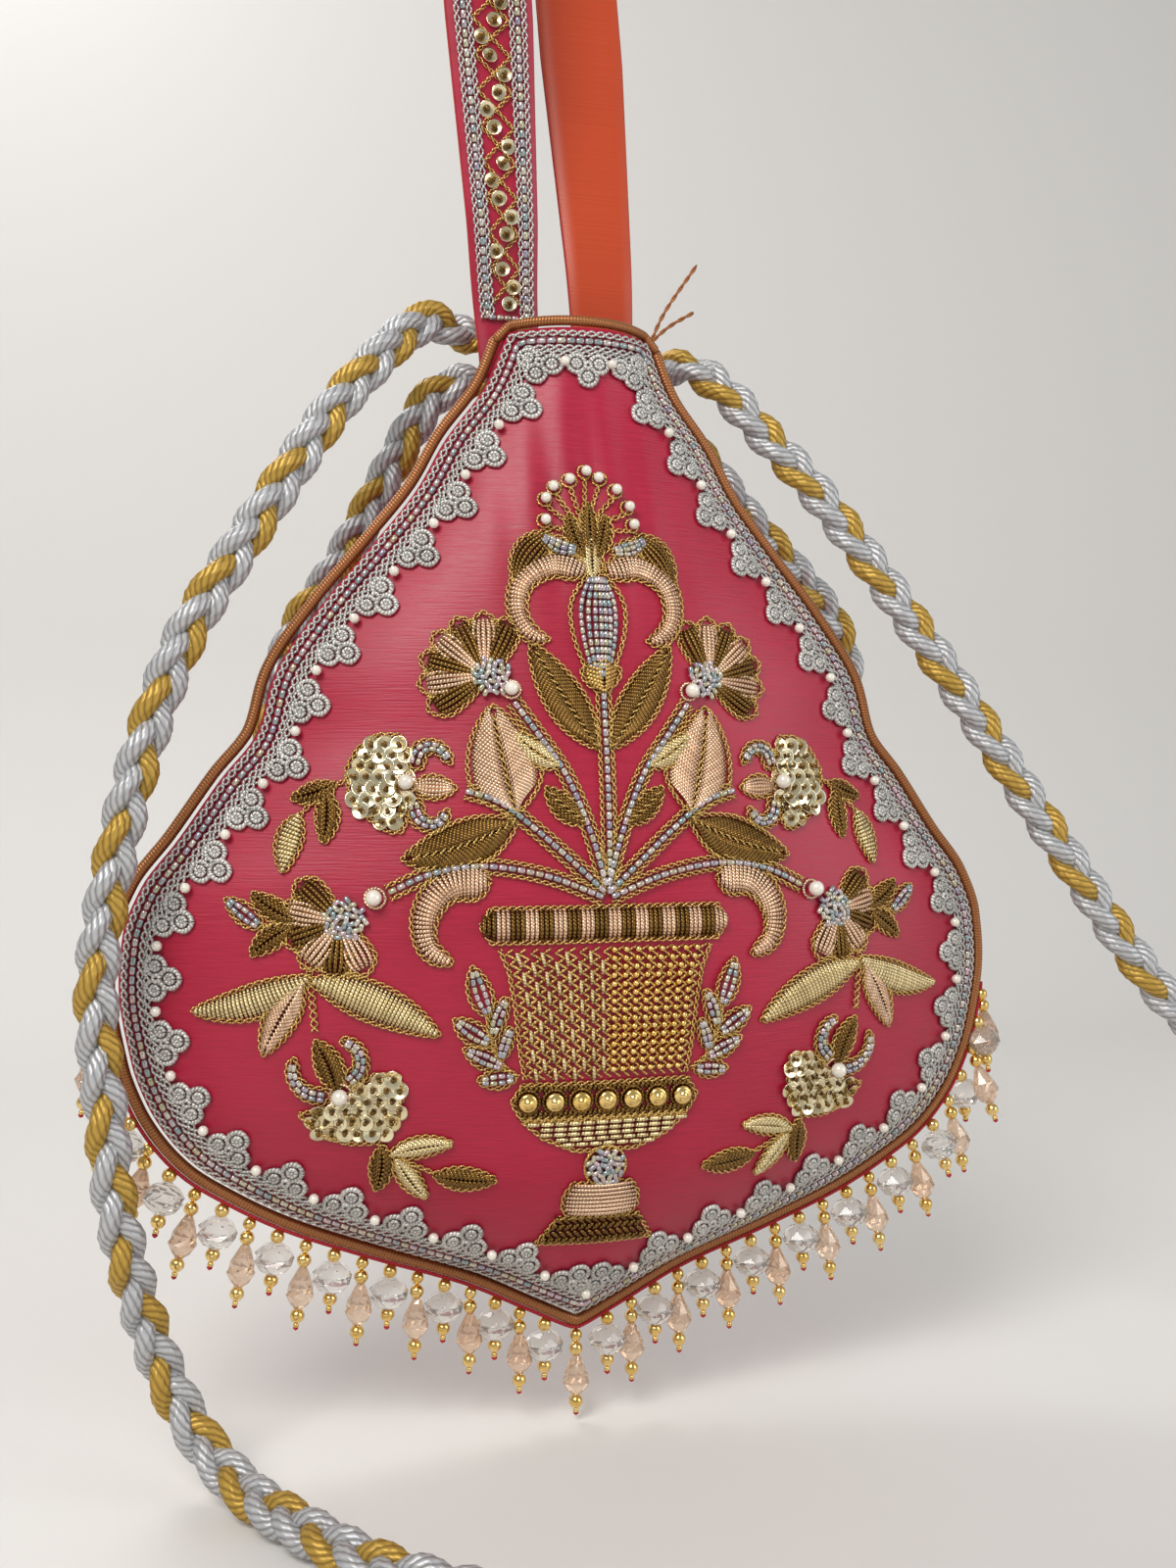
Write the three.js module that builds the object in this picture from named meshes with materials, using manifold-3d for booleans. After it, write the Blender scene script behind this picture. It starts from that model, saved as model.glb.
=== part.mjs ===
// Embroidered potli bag: two domed silk panels, piped and lace edged, with a bead fringe,
// a strap handle and a braided cord. Millimetres, +Z up, the embroidered front faces -Y.
// The origin is the flat under the bend of the handle, where the bag hangs from a finger or hook.
import * as THREE from "three";
import { mergeVertices, mergeGeometries } from "three/addons/utils/BufferGeometryUtils.js";
import { TessellateModifier } from "three/addons/modifiers/TessellateModifier.js";
import Module from "manifold-3d";
const wasm = await Module();
wasm.setup();

// Driving dimensions
const BAG_HEIGHT = 241; // mouth edge down to the point
const BELLY_HALF = 108.5; // half of the widest width
const BULGE = 28; // how far each panel stands out from the seam
const MOUTH_FRONT = 9; // how far the front mouth edge stands out
const MOUTH_BACK = 4;
const CLOTH = 1.2; // silk with its interlining
const LINING = 0.8;
const SEAM = 0.15; // half of the parting between the two panels
const GAP = 0.35; // clearance between pieces that touch
const PIPING = 1.4; // radius of the piping cord
const LACE_EDGE = 1.2; // lace starts this far inside the edge
const LACE_BAND = 6; // straight part of the lace
const LACE_THICK = 1.2;
const TREFOIL_PITCH = 14.7;
const TREFOIL = 4.2;
const RELIEF = 1.3; // height of the padded embroidery
const DROP_PITCH = 7; // spacing of the bead fringe
const DROPS_A_SIDE = 20;
const STRAP_TOP = 21.5; // strap width at the bend
const STRAP_FOOT = 15.5; // strap width where it is sewn on
const STRAP_PLY = 0.8;
const STRAP_SEWN = 9; // length sewn on behind the mouth
const STRAP_PART = 0.15; // half of the parting between its two plies
const STITCH = 0.75; // room for the stitching between the strap and the panel
const TRIM = 1.2; // height of the bead rows on the strap
const LATTICE = 0.8; // height of the chain lattice on the strap
const LATTICE_PITCH = 8.4;
const HANDLE_RISE = 110; // mouth up to the centre of the bend
const BEND = 13; // radius of the bend
const BEND_Y = 4;
const CORD = 4.9; // radius of the braided cord

// Colours
const look = (color, roughness, metalness = 0) =>
  new THREE.MeshStandardMaterial({ color, roughness, metalness });
const magenta = look(0xa81436, 0.6);
const orange = look(0xb8400c, 0.45);
const copper = look(0x7a3a1c, 0.45, 0.3);
const silver = look(0xb4b2ac, 0.4, 0.6);
const gold = look(0xb08d3c, 0.35, 0.7);
const bronze = look(0x6b4a1c, 0.35, 0.7);
const rose = look(0xc99a6e, 0.4, 0.6);
const paleGold = look(0xc9b070, 0.4, 0.6);
const opal = look(0xaaa4ac, 0.2, 0.1);
const crystal = look(0xe6dccb, 0.1);
const braid = look(0xa09f9a, 0.6, 0.2);

// Smooth curve through knots that doesn't overshoot them
function through(xs, ys) {
  const n = xs.length;
  const d = xs.slice(1).map((x, i) => (ys[i + 1] - ys[i]) / (x - xs[i]));
  const m = xs.map((_, i) => {
    if (i === 0) return d[0];
    if (i === n - 1) return d[n - 2];
    if (d[i - 1] * d[i] <= 0) return 0;
    return (2 * d[i - 1] * d[i]) / (d[i - 1] + d[i]);
  });
  return (x) => {
    const t = Math.min(Math.max(x, xs[0]), xs[n - 1]);
    let i = 0;
    while (i < n - 2 && t > xs[i + 1]) i += 1;
    const h = xs[i + 1] - xs[i];
    const s = (t - xs[i]) / h;
    const a = ys[i] * (1 + 2 * s) * (1 - s) ** 2 + ys[i + 1] * s * s * (3 - 2 * s);
    return a + h * (m[i] * s * (1 - s) ** 2 - m[i + 1] * s * s * (1 - s));
  };
}

// Outline of the panels: half width by depth below the mouth, as shares of the whole
const halfShare = through(
  [0, 0.055, 0.11, 0.16, 0.22, 0.28, 0.35, 0.405, 0.45, 0.51, 0.555, 0.6, 0.645, 0.72, 0.76, 0.79,
    0.822, 0.851, 0.878, 0.91, 0.947, 0.975, 1],
  [0.162, 0.212, 0.3, 0.362, 0.466, 0.575, 0.677, 0.712, 0.788, 0.88, 0.955, 0.992, 1, 0.975,
    0.944, 0.906, 0.844, 0.75, 0.64, 0.462, 0.235, 0.11, 0]
);
const half = (t) => BELLY_HALF * halfShare(t);
const swell = through([0, 0.2, 0.45, 0.65, 0.8, 0.92, 1], [0, 0.62, 0.9, 1, 0.9, 0.52, 0]);
const roundness = (t) => 2.3 - 0.7 * THREE.MathUtils.clamp((t - 0.7) / 0.3, 0, 1);

// Depth of a panel's middle surface in front of the seam at a point of its plan
function depth(x, z, mouth) {
  const t = THREE.MathUtils.clamp(-z / BAG_HEIGHT, 0, 1);
  const u = Math.min(Math.abs(x) / Math.max(half(t), 0.4), 1);
  const lip = mouth * Math.max(0, 1 - t / 0.2) ** 2;
  return (BULGE * swell(t) + lip) * (1 - u ** roundness(t));
}

// Triangles to one welded closed body
function closed(geometry) {
  geometry.deleteAttribute("normal");
  geometry.deleteAttribute("uv");
  const welded = mergeVertices(geometry, 1e-3);
  const index = [...welded.index.array];
  const kept = [];
  for (let i = 0; i < index.length; i += 3) {
    const [a, b, c] = index.slice(i, i + 3);
    if (a !== b && b !== c && c !== a) kept.push(a, b, c);
  }
  welded.setIndex(kept);
  return welded;
}

// Skin over rings of equal count, with its two ends closed by fans
function loft(rings, cap = true) {
  const n = rings[0].length;
  const position = rings.flat().flatMap((p) => [p.x, p.y, p.z]);
  const index = [];
  for (let r = 0; r + 1 < rings.length; r += 1)
    for (let i = 0; i < n; i += 1) {
      const a = r * n + i;
      const b = r * n + ((i + 1) % n);
      index.push(a, b, b + n, a, b + n, a + n);
    }
  if (cap)
    for (let i = 1; i + 1 < n; i += 1) {
      const last = (rings.length - 1) * n;
      index.push(0, i + 1, i, last, last + i, last + i + 1);
    }
  const g = new THREE.BufferGeometry();
  g.setAttribute("position", new THREE.Float32BufferAttribute(position, 3));
  g.setIndex(index);
  return closed(g);
}

// Join and cut closed bodies
function toSolid(geometry) {
  const g = closed(geometry);
  return new wasm.Manifold(
    new wasm.Mesh({
      numProp: 3,
      vertProperties: new Float32Array(g.attributes.position.array),
      triVerts: new Uint32Array(g.index.array),
    })
  );
}
function fromSolid(solid) {
  const m = solid.getMesh();
  const g = new THREE.BufferGeometry();
  g.setAttribute("position", new THREE.Float32BufferAttribute(m.vertProperties, 3));
  g.setIndex([...m.triVerts]);
  return g;
}
const join = (list) => list.reduce((a, b) => a.add(b));
const biggest = (solid) => solid.decompose().sort((a, b) => b.volume() - a.volume())[0];

const bag = new THREE.Group();
const part = new THREE.Group();
part.add(bag);
function add(name, geometry, material) {
  const mesh = new THREE.Mesh(geometry, material);
  mesh.name = name;
  bag.add(mesh);
}

// Stations down the bag and across it, closer together at the edges
const rows = [0, 0.04, 0.1, 0.17, 0.24, 0.31, 0.36, 0.405, 0.45, 0.5, 0.56, 0.62, 0.68, 0.74, 0.79,
  0.825, 0.855, 0.88, 0.905, 0.928, 0.95, 0.975, 1];
const across = Array.from({ length: 11 }, (_, i) => Math.sin((Math.PI / 2) * (i / 5 - 1)));

// One panel: an outer skin, an inner skin and the edge between them; side is -1 in front
function panel(side, mouth) {
  const rings = rows.map((t) => {
    const outer = across.map((u) => {
      const x = u * half(t);
      const z = -t * BAG_HEIGHT;
      return new THREE.Vector3(x, side * (depth(x, z, mouth) + SEAM + CLOTH), z);
    });
    const inner = outer.map((p) => new THREE.Vector3(p.x, p.y - side * CLOTH, p.z)).reverse();
    const ring = [...outer, ...inner];
    return side < 0 ? ring.reverse() : ring;
  });
  // The mouth end of the strip between the skins is closed by quads, not by a fan
  return shellEnds(rings, across.length);
}
function shellEnds(rings, count) {
  const g = loft(rings, false).toNonIndexed();
  const tri = [];
  const quad = (ring, flip) => {
    for (let i = 0; i + 1 < count; i += 1) {
      const [a, b] = [ring[i], ring[i + 1]];
      const [c, d] = [ring[2 * count - 2 - i], ring[2 * count - 1 - i]];
      const list = flip ? [a, b, c, a, c, d] : [a, c, b, a, d, c];
      list.forEach((p) => tri.push(p.x, p.y, p.z));
    }
  };
  quad(rings[0], false);
  quad(rings[rings.length - 1], true);
  const ends = new THREE.BufferGeometry();
  ends.setAttribute("position", new THREE.Float32BufferAttribute(tri, 3));
  return closed(mergeGeometries([g, ends]));
}
add("front_panel", panel(-1, MOUTH_FRONT), magenta);
add("back_panel", panel(1, MOUTH_BACK), magenta);

// Lining: one sack inside both panels, open at the mouth
function sackRing(t, inset) {
  const z = -t * BAG_HEIGHT;
  const w = half(t);
  const reach = Math.max(w - 3 - inset, 0.05);
  const side = (s, mouth) =>
    [-1, -0.81, -0.31, 0.31, 0.81, 1].map((u) => {
      const x = u * reach;
      const d = Math.max(depth(x, z, mouth) + SEAM - GAP - 0.25 - inset, 0.12);
      return new THREE.Vector3(x, s * d, z);
    });
  return [...side(-1, MOUTH_FRONT), ...side(1, MOUTH_BACK).reverse()].reverse();
}
const sackRows = rows.filter((t) => t > 0.01 && t < 0.93);
const sackTop = 0.004;
const outerSack = [sackTop, ...sackRows].map((t) => sackRing(t, 0));
const innerSack = [sackTop, ...sackRows.slice(0, -1)].map((t) => sackRing(t, LINING));
add("lining", loft([...innerSack.reverse(), ...outerSack]), orange);

// Outline as a line in the seam plane, moved outwards by a distance; starts at the left mouth corner
function edgePoints(count, out, from = 0, to = 1) {
  const fine = [];
  for (let i = 0; i <= 400; i += 1) {
    const v = (i / 400) * 2 - 1;
    const t = 1 - Math.abs(v) ** 1.35;
    fine.push(new THREE.Vector2(Math.sign(v) * half(t), -t * BAG_HEIGHT));
  }
  const run = [0];
  for (let i = 1; i < fine.length; i += 1) run.push(run[i - 1] + fine[i].distanceTo(fine[i - 1]));
  const total = run[run.length - 1];
  return Array.from({ length: count }, (_, k) => {
    const s = THREE.MathUtils.lerp(from, to, k / (count - 1)) * total;
    let i = 1;
    while (i < run.length - 1 && run[i] < s) i += 1;
    const f = (s - run[i - 1]) / (run[i] - run[i - 1]);
    const p = fine[i - 1].clone().lerp(fine[i], f);
    const a = fine[Math.max(i - 6, 0)];
    const b = fine[Math.min(i + 5, fine.length - 1)];
    const along = b.clone().sub(a).normalize();
    p.add(new THREE.Vector2(along.y, -along.x).multiplyScalar(out));
    return { p, along, s, total };
  });
}
function tube(points, radius, steps, sides) {
  const ring = Array.from({ length: sides }, (_, i) => {
    const a = (2 * Math.PI * i) / sides;
    return new THREE.Vector2(radius * Math.cos(a), radius * Math.sin(a));
  });
  const path = new THREE.CatmullRomCurve3(points, false, "centripetal");
  return new THREE.ExtrudeGeometry(new THREE.Shape(ring), { steps, extrudePath: path });
}

// Piping in the side seam and along the two mouth edges
const pipeOut = PIPING + 2 * GAP;
const side = edgePoints(81, pipeOut, 0.002, 0.998).map((e) => new THREE.Vector3(e.p.x, 0, e.p.y));
add("side_piping", closed(tube(side, PIPING, 80, 5)), copper);
function mouthLine(s, mouth, rise, inward) {
  return [-0.86, -0.6, -0.3, 0, 0.3, 0.6, 0.86].map((u) => {
    const x = u * half(0);
    return new THREE.Vector3(x, s * (depth(x, 0, mouth) + SEAM + CLOTH - inward), rise);
  });
}
const front = mouthLine(-1, MOUTH_FRONT, PIPING + GAP, 0.6);
const back = mouthLine(1, MOUTH_BACK, PIPING + GAP, 0.6);
add("front_mouth_piping", closed(tube(front, PIPING * 0.85, 12, 6)), copper);
add("back_mouth_piping", closed(tube(back, PIPING * 0.85, 12, 6)), copper);

// Flat outlines in the plan of a panel
const P = (x, z) => new THREE.Vector2(x, z);
const mirror = (list) => list.map(({ pts, h }) => ({ pts: pts.map((p) => P(-p.x, p.y)).reverse(), h }));
const disc = (x, z, r, h, n = 8) => ({
  pts: Array.from({ length: n }, (_, i) => {
    const a = (2 * Math.PI * i) / n;
    return P(x + r * Math.cos(a), z + r * Math.sin(a));
  }),
  h,
});
// A leaf from base to tip, bent sideways by a share of its length
function leaf(base, tip, width, h, bend = 0, fat = 0.45) {
  const [a, b] = [P(...base), P(...tip)];
  const along = b.clone().sub(a);
  const n = P(-along.y, along.x).normalize();
  const mid = a.clone().lerp(b, 0.5).addScaledVector(n, bend * along.length());
  const spine = new THREE.QuadraticBezierCurve(a, mid, b);
  const stops = [0.1, 0.3, 0.52, 0.74, 0.9];
  const edge = (s) =>
    stops.map((f) => {
      const g = f < fat ? (f / fat) * 0.5 : 0.5 + ((f - fat) / (1 - fat)) * 0.5;
      const q = spine.getPoint(f);
      const d = spine.getTangent(f);
      return q.add(P(-d.y, d.x).multiplyScalar((s * width * Math.sin(Math.PI * g) ** 0.75) / 2));
    });
  return { pts: [a, ...edge(-1), b, ...edge(1).reverse()], h };
}
// A line of even width through points
function stroke(list, width, h, endWidth = width) {
  const path = new THREE.SplineCurve(list.map((p) => P(...p)));
  const count = Math.max(3, Math.ceil(path.getLength() / 6));
  const edge = (s) =>
    Array.from({ length: count + 1 }, (_, i) => {
      const q = path.getPoint(i / count);
      const d = path.getTangent(i / count);
      const w = THREE.MathUtils.lerp(width, endWidth, i / count);
      return q.add(P(-d.y, d.x).multiplyScalar((s * w) / 2));
    });
  return { pts: [...edge(-1), ...edge(1).reverse()], h };
}
const shape = (list, h) => ({ pts: list.map((p) => P(...p)), h });

// Flat pieces joined, cut clear of their neighbours, then laid over a curved surface
function flat(piece, grow = 0, low = 0, high = piece.h) {
  let { pts } = piece;
  if (!THREE.ShapeUtils.isClockWise(pts)) pts = [...pts];
  else pts = [...pts].reverse();
  if (grow)
    pts = pts.map((p, i) => {
      const a = pts[(i + pts.length - 1) % pts.length];
      const b = pts[(i + 1) % pts.length];
      const u = p.clone().sub(a).normalize();
      const v = b.clone().sub(p).normalize();
      const n = P(u.y + v.y, -u.x - v.x).normalize();
      const c = Math.max(n.x * u.y - n.y * u.x, 0.55);
      return p.clone().addScaledVector(n, grow / c);
    });
  const g = new THREE.ExtrudeGeometry(new THREE.Shape(pts), {
    depth: high - low,
    bevelEnabled: false,
    curveSegments: 1,
  });
  return toSolid(g.translate(0, 0, low));
}
const laid = [];
function relief(name, pieces, material) {
  let solid = join(pieces.map((p) => flat(p)));
  laid.forEach((p) => {
    solid = solid.subtract(flat(p, GAP, -1, 9));
  });
  laid.push(...pieces);
  add(name, laidOver(biggest(solid), 13), material);
}
function laidOver(solid, step) {
  const g = new TessellateModifier(step, 8).modify(fromSolid(solid).toNonIndexed());
  const at = g.attributes.position;
  const p = new THREE.Vector3();
  for (let i = 0; i < at.count; i += 1) {
    p.fromBufferAttribute(at, i);
    onFront(p.x, p.y, p.z).toArray(at.array, 3 * i);
  }
  return closed(g);
}
// Surface of the front panel, a height above it
function onFront(x, z, h) {
  const y = (a, b) => -(depth(a, b, MOUTH_FRONT) + SEAM + CLOTH);
  const e = 0.5;
  const n = new THREE.Vector3(
    (y(x + e, z) - y(x - e, z)) / (2 * e), -1, (y(x, z + e) - y(x, z - e)) / (2 * e)
  ).normalize();
  // A little more room where the panel curves hardest, at the mouth and at the point
  const tight = THREE.MathUtils.smoothstep(-z, 222, 238) + 0.35 * THREE.MathUtils.smoothstep(z, -12, -3);
  return new THREE.Vector3(x, y(x, z), z).addScaledVector(n, h + GAP + 0.15 + 0.9 * tight);
}

// Lace: a band along the edge and across the mouth, with a trefoil at every pitch
function laceBand() {
  const [outer, inner] = [LACE_EDGE, LACE_EDGE + LACE_BAND];
  const lines = [outer, (outer + inner) / 2, inner].map((inset) => {
    const top = -inset;
    const reach = half(inset / BAG_HEIGHT) - inset * 1.02;
    const mouth = [1, 0.75, 0.5, 0.25, 0, -0.25, -0.5, -0.75, -1].map((u) => P(u * reach, top));
    const sides = edgePoints(73, -inset).map((e) => e.p);
    return { sides, mouth };
  });
  const keep = lines[2].sides.map((p) => p.y < -inner - 0.4);
  const path = lines.map(({ sides, mouth }) => [...sides.filter((_, i) => keep[i]), ...mouth]);
  const rings = path[0].map((_, i) => {
    const low = path.map((line) => onFront(line[i].x, line[i].y, 0));
    const high = path.map((line) => onFront(line[i].x, line[i].y, LACE_THICK));
    return [...low, ...high.reverse()];
  });
  return loft([...rings, rings[0]], false);
}
function trefoils() {
  const inset = LACE_EDGE + LACE_BAND + TREFOIL * 0.42;
  const list = [];
  const place = (p, inwards) => {
    const turn = Math.atan2(inwards.y, inwards.x);
    const pts = Array.from({ length: 6 }, (_, i) => {
      const a = (Math.PI * i) / 3 + turn;
      const r = TREFOIL * (i % 2 ? 0.62 : 1.25);
      return P(p.x + r * Math.cos(a), p.y + r * Math.sin(a));
    });
    list.push({ pts, h: LACE_THICK - 0.1 });
  };
  let last = null;
  edgePoints(300, -inset, 0.045, 0.955).filter((e) => e.p.y < -inset).forEach((e) => {
    if (last && e.p.distanceTo(last) < TREFOIL_PITCH) return;
    place(e.p, P(-e.along.y, e.along.x));
    last = e.p;
  });
  [-11, 0, 11].forEach((x) => place(P(x, -inset), P(0, -1)));
  return list;
}
const warped = (p) => toSolid(laidOver(flat(p, 0, 0.1), 30));
const lace = biggest(join([toSolid(laceBand()), ...trefoils().map(warped)]));
add("lace_border", closed(fromSolid(lace)), silver);

// Embroidery: a vase of flowers; each left-hand motif has its mirror image on the right
const H = RELIEF;
const pair = (name, pieces, material) => {
  relief(`${name}_left`, pieces, material);
  relief(`${name}_right`, mirror(pieces), material);
};
const upperStem = [[-21.4, -90], [-15.3, -98.5], [-9.3, -107.3], [-3.7, -121], [0, -134]];
const secondStem = [[-33, -111], [-25, -113.5], [-17.6, -119], [-8, -127.5], [0, -135]];
const thirdStem = [[-50.5, -134.5], [-40, -129.8], [-29, -128.2], [-14, -130.6], [0, -136]];
const half1 = [stroke(upperStem, 3.6, H), stroke(secondStem, 3.6, H), stroke(thirdStem, 3.6, H)];
relief(
  "stems",
  [stroke([[0, -87.3], [0.6, -112], [0.6, -136]], 3.8, H), ...half1, ...mirror(half1)],
  opal
);
const pearls = [[-12.4, -48.2], [-12, -43], [-9.5, -40], [-6, -38.3], [-2.2, -36], [1.6, -37.5],
  [5, -40.4], [7.8, -44.3], [8.8, -48.6]];
const curl = (s) => [[-2, -60.6], [-10.8, -59.8], [-17.8, -64.6], [-18.2, -71.5], [-14, -76.2],
  [-10, -76.8]].map(([x, z]) => [s * (x + 0.6) - 0.6, z]);
relief(
  "iris",
  [
    ...pearls.map(([x, z]) => disc(x, z, 1.7, 2.4, 6)),
    ...pearls.map(([x, z]) => stroke([[x, z], [(x - 4.4) / 2 + 0.6, (z - 52) / 2], [-2, -53]], 1.2, H)),
    leaf([-2, -57], [-1.8, -44.5], 9, 1.6),
    leaf([-1.8, -62], [-1.8, -52.6], 5.5, 2.2),
    leaf([-9.6, -51], [-20, -64.4], 6, 1.6, -0.15), leaf([6.6, -51.4], [17.2, -63.4], 6, 1.6, 0.15),
    stroke([[-9.6, -52], [-2, -59]], 4, H), stroke([[6.4, -52.4], [-1.4, -59]], 4, H),
    stroke(curl(1), 5.6, 1.8, 3), stroke(curl(-1), 5.6, 1.8, 3),
    shape([[-6.4, -62], [5.4, -62], [6, -74], [5.6, -84], [0, -86.8], [-5.6, -84], [-6.6, -74]], 2),
  ],
  rose
);
const petals = (cx, cz, from, to, count, reach, wide) =>
  Array.from({ length: count }, (_, i) => {
    const a = THREE.MathUtils.degToRad(from + ((to - from) * i) / (count - 1));
    return leaf([cx, cz], [cx + reach * Math.cos(a), cz + reach * Math.sin(a)], wide, 1.7, 0, 0.72);
  });
pair(
  "upper_carnation",
  [...petals(-27, -85, 212, 66, 5, 15, 8.6), disc(-25.6, -85, 4, 2), disc(-21.3, -88, 2.1, 2.4)],
  bronze
);
pair(
  "lower_carnation",
  [
    ...petals(-60, -140.5, 136, 296, 5, 13, 8.2), disc(-59, -140, 4.4, 2),
    disc(-52.4, -135.2, 2.1, 2.4), stroke([[-59, -140], [-52.4, -135.2]], 3, H),
    stroke([[-60, -140.5], [-70, -140.6], [-77.5, -141.6]], 1.5, H),
    leaf([-76.8, -141.9], [-84.6, -135.6], 4.6, H), leaf([-69.5, -140.2], [-78.9, -134.2], 4.8, H, 0.1),
    leaf([-70.4, -141.6], [-79.2, -148], 4.8, H, -0.1),
  ],
  bronze
);
pair(
  "upper_sequin_flower",
  [
    shape([[-45.5, -97.4], [-51, -97.6], [-56, -101], [-58.8, -106], [-58.4, -112], [-55, -117.5],
      [-49, -121.6], [-45.4, -121.4], [-43.6, -115], [-43, -109.5], [-43.8, -103]], 1.9),
    disc(-44.9, -109.5, 2.2, 2.4), leaf([-43.6, -110.2], [-34.2, -110.6], 4.6, H),
    stroke([[-43.4, -107], [-41.6, -102.2], [-37.6, -101.6], [-34.6, -105.4]], 3, H, 1.6),
    stroke([[-43.8, -112.6], [-42.6, -118], [-38.4, -119.4], [-35.6, -115.4]], 3, H, 1.6),
    stroke([[-57.5, -108.5], [-63.5, -111.5], [-68.4, -117]], 1.5, H),
    leaf([-60.4, -109.6], [-70, -113], 4.4, H, 0.1), leaf([-62.4, -111.4], [-63.4, -123], 4.8, H, 0.1),
    leaf([-68.2, -116.6], [-72.2, -129.6], 5.4, H, -0.1),
  ],
  paleGold
);
pair("heart_leaf", [leaf([-20.9, -116.4], [-25.6, -91.6], 16, H, 0.04, 0.36)], rose);
pair("upper_pale_leaf", [leaf([-10.6, -105.4], [-21, -97.9], 5.6, H, 0.12)], paleGold);
pair("small_leaf", [leaf([-4.6, -118.6], [-13.8, -110.4], 5.4, H, 0.1)], bronze);
pair("veined_leaf", [leaf([-20.8, -117.8], [-46.4, -126.6], 10.5, H, 0.1)], bronze);
pair("wavy_leaf", [leaf([-1.6, -101.4], [-16.6, -77.4], 8, H, 0.03)], bronze);
pair(
  "curled_leaf",
  [stroke([[-27, -131.6], [-36.5, -132.4], [-41.6, -139], [-41, -146.4], [-35.6, -150]], 9, H, 2.4)],
  rose
);
pair(
  "leaf_spray",
  [
    leaf([-66.4, -152.6], [-92, -160.8], 7.4, H, 0.14), leaf([-66.6, -153.4], [-38.4, -166], 8.4, H, 0.07),
    leaf([-68, -154], [-76.6, -170.4], 6.8, H, -0.06),
    stroke([[-67, -152], [-66, -159], [-65.5, -165]], 2.4, H),
  ],
  paleGold
);
pair(
  "lower_sequin_flower",
  [
    shape([[-69.6, -184], [-62, -181.6], [-57.6, -177.6], [-52.6, -173.8], [-46.6, -173.8],
      [-45.2, -179], [-46.6, -186], [-51.4, -191.8], [-58, -192], [-65, -189.6]], 1.9),
    disc(-59.8, -179.2, 2.4, 2.4), leaf([-60.6, -178.6], [-64.4, -167.6], 5.4, H, -0.1),
    stroke([[-62, -180], [-67.4, -178.8], [-70.2, -175], [-70, -171]], 3.2, H, 1.4),
    stroke([[-59, -177], [-55.6, -173.4], [-56.4, -168.8], [-60, -166.6]], 3.2, H, 1.4),
    stroke([[-51.6, -190.6], [-47.6, -194], [-38, -198.6]], 1.5, H),
    leaf([-50.6, -191.4], [-51.4, -202.4], 5, H, 0.1), leaf([-48.6, -193.4], [-35, -191.2], 4.6, H, 0.08),
    leaf([-47.4, -194.2], [-40, -204.4], 4.4, H, -0.08),
    leaf([-38.8, -198.6], [-24.8, -200.2], 5.2, H, -0.06),
  ],
  paleGold
);
relief(
  "vase_rim",
  [shape([[-29.6, -141.6], [-26.8, -138], [-14, -137.4], [0, -137.4], [14, -137.4], [26.8, -138],
    [29.6, -141.6], [26.4, -145.6], [14, -145.6], [0, -145.6], [-14, -145.6], [-26.4, -145.6]], 2)],
  bronze
);
relief(
  "vase_basket",
  [shape([[-25, -146.1], [-12, -146.1], [0, -146.1], [12, -146.1], [25, -146.1], [22.6, -152],
    [21.2, -160], [20, -170], [18.6, -177.4], [9, -177.4], [0, -177.4], [-9, -177.4], [-18.6, -177.4],
    [-20, -170], [-21.2, -160], [-22.6, -152]], 1.6)],
  gold
);
relief(
  "stud_band",
  [
    shape([[-19.6, -178], [-6, -178], [6, -178], [19.6, -178], [22, -182], [19.6, -186], [6, -186],
      [-6, -186], [-19.6, -186], [-22, -182]], 1.4),
    ...[-3, -2, -1, 0, 1, 2, 3].map((i) => disc(i * 6.1, -182, 2.6, 2.4)),
  ],
  gold
);
relief(
  "vase_bowl",
  [shape([[-19.4, -186.5], [-6, -186.5], [6, -186.5], [19.4, -186.5], [14.6, -190.6], [7, -193.6],
    [-7, -193.6], [-14.6, -190.6]], 1.6)],
  paleGold
);
relief(
  "vase_foot",
  [
    disc(0.3, -198, 5, 2, 10), shape([[-7, -202], [7, -202], [8.8, -205], [8.8, -208.4], [7, -211],
      [-7, -211], [-8.8, -208.4], [-8.8, -205]], 2),
    shape([[-9.6, -210.6], [9.6, -210.6], [13.6, -217], [0, -218], [-13.6, -217]], 1.6),
  ],
  bronze
);
pair(
  "laurel",
  [
    stroke([[-20.4, -176], [-24.4, -173], [-27, -167], [-27.8, -161]], 1.6, H),
    leaf([-27.4, -162], [-31.2, -150.6], 5, H, 0.05), leaf([-26.8, -166.6], [-23.4, -157.6], 3.6, H, 0.1),
    leaf([-27, -168], [-35.2, -162.4], 4.8, H, 0.05), leaf([-24.8, -172], [-22.4, -164.4], 3.2, H, 0.1),
    leaf([-24, -173.6], [-33, -169.2], 4.4, H), leaf([-21, -176], [-29.8, -176.6], 4.2, H),
  ],
  opal
);

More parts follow.
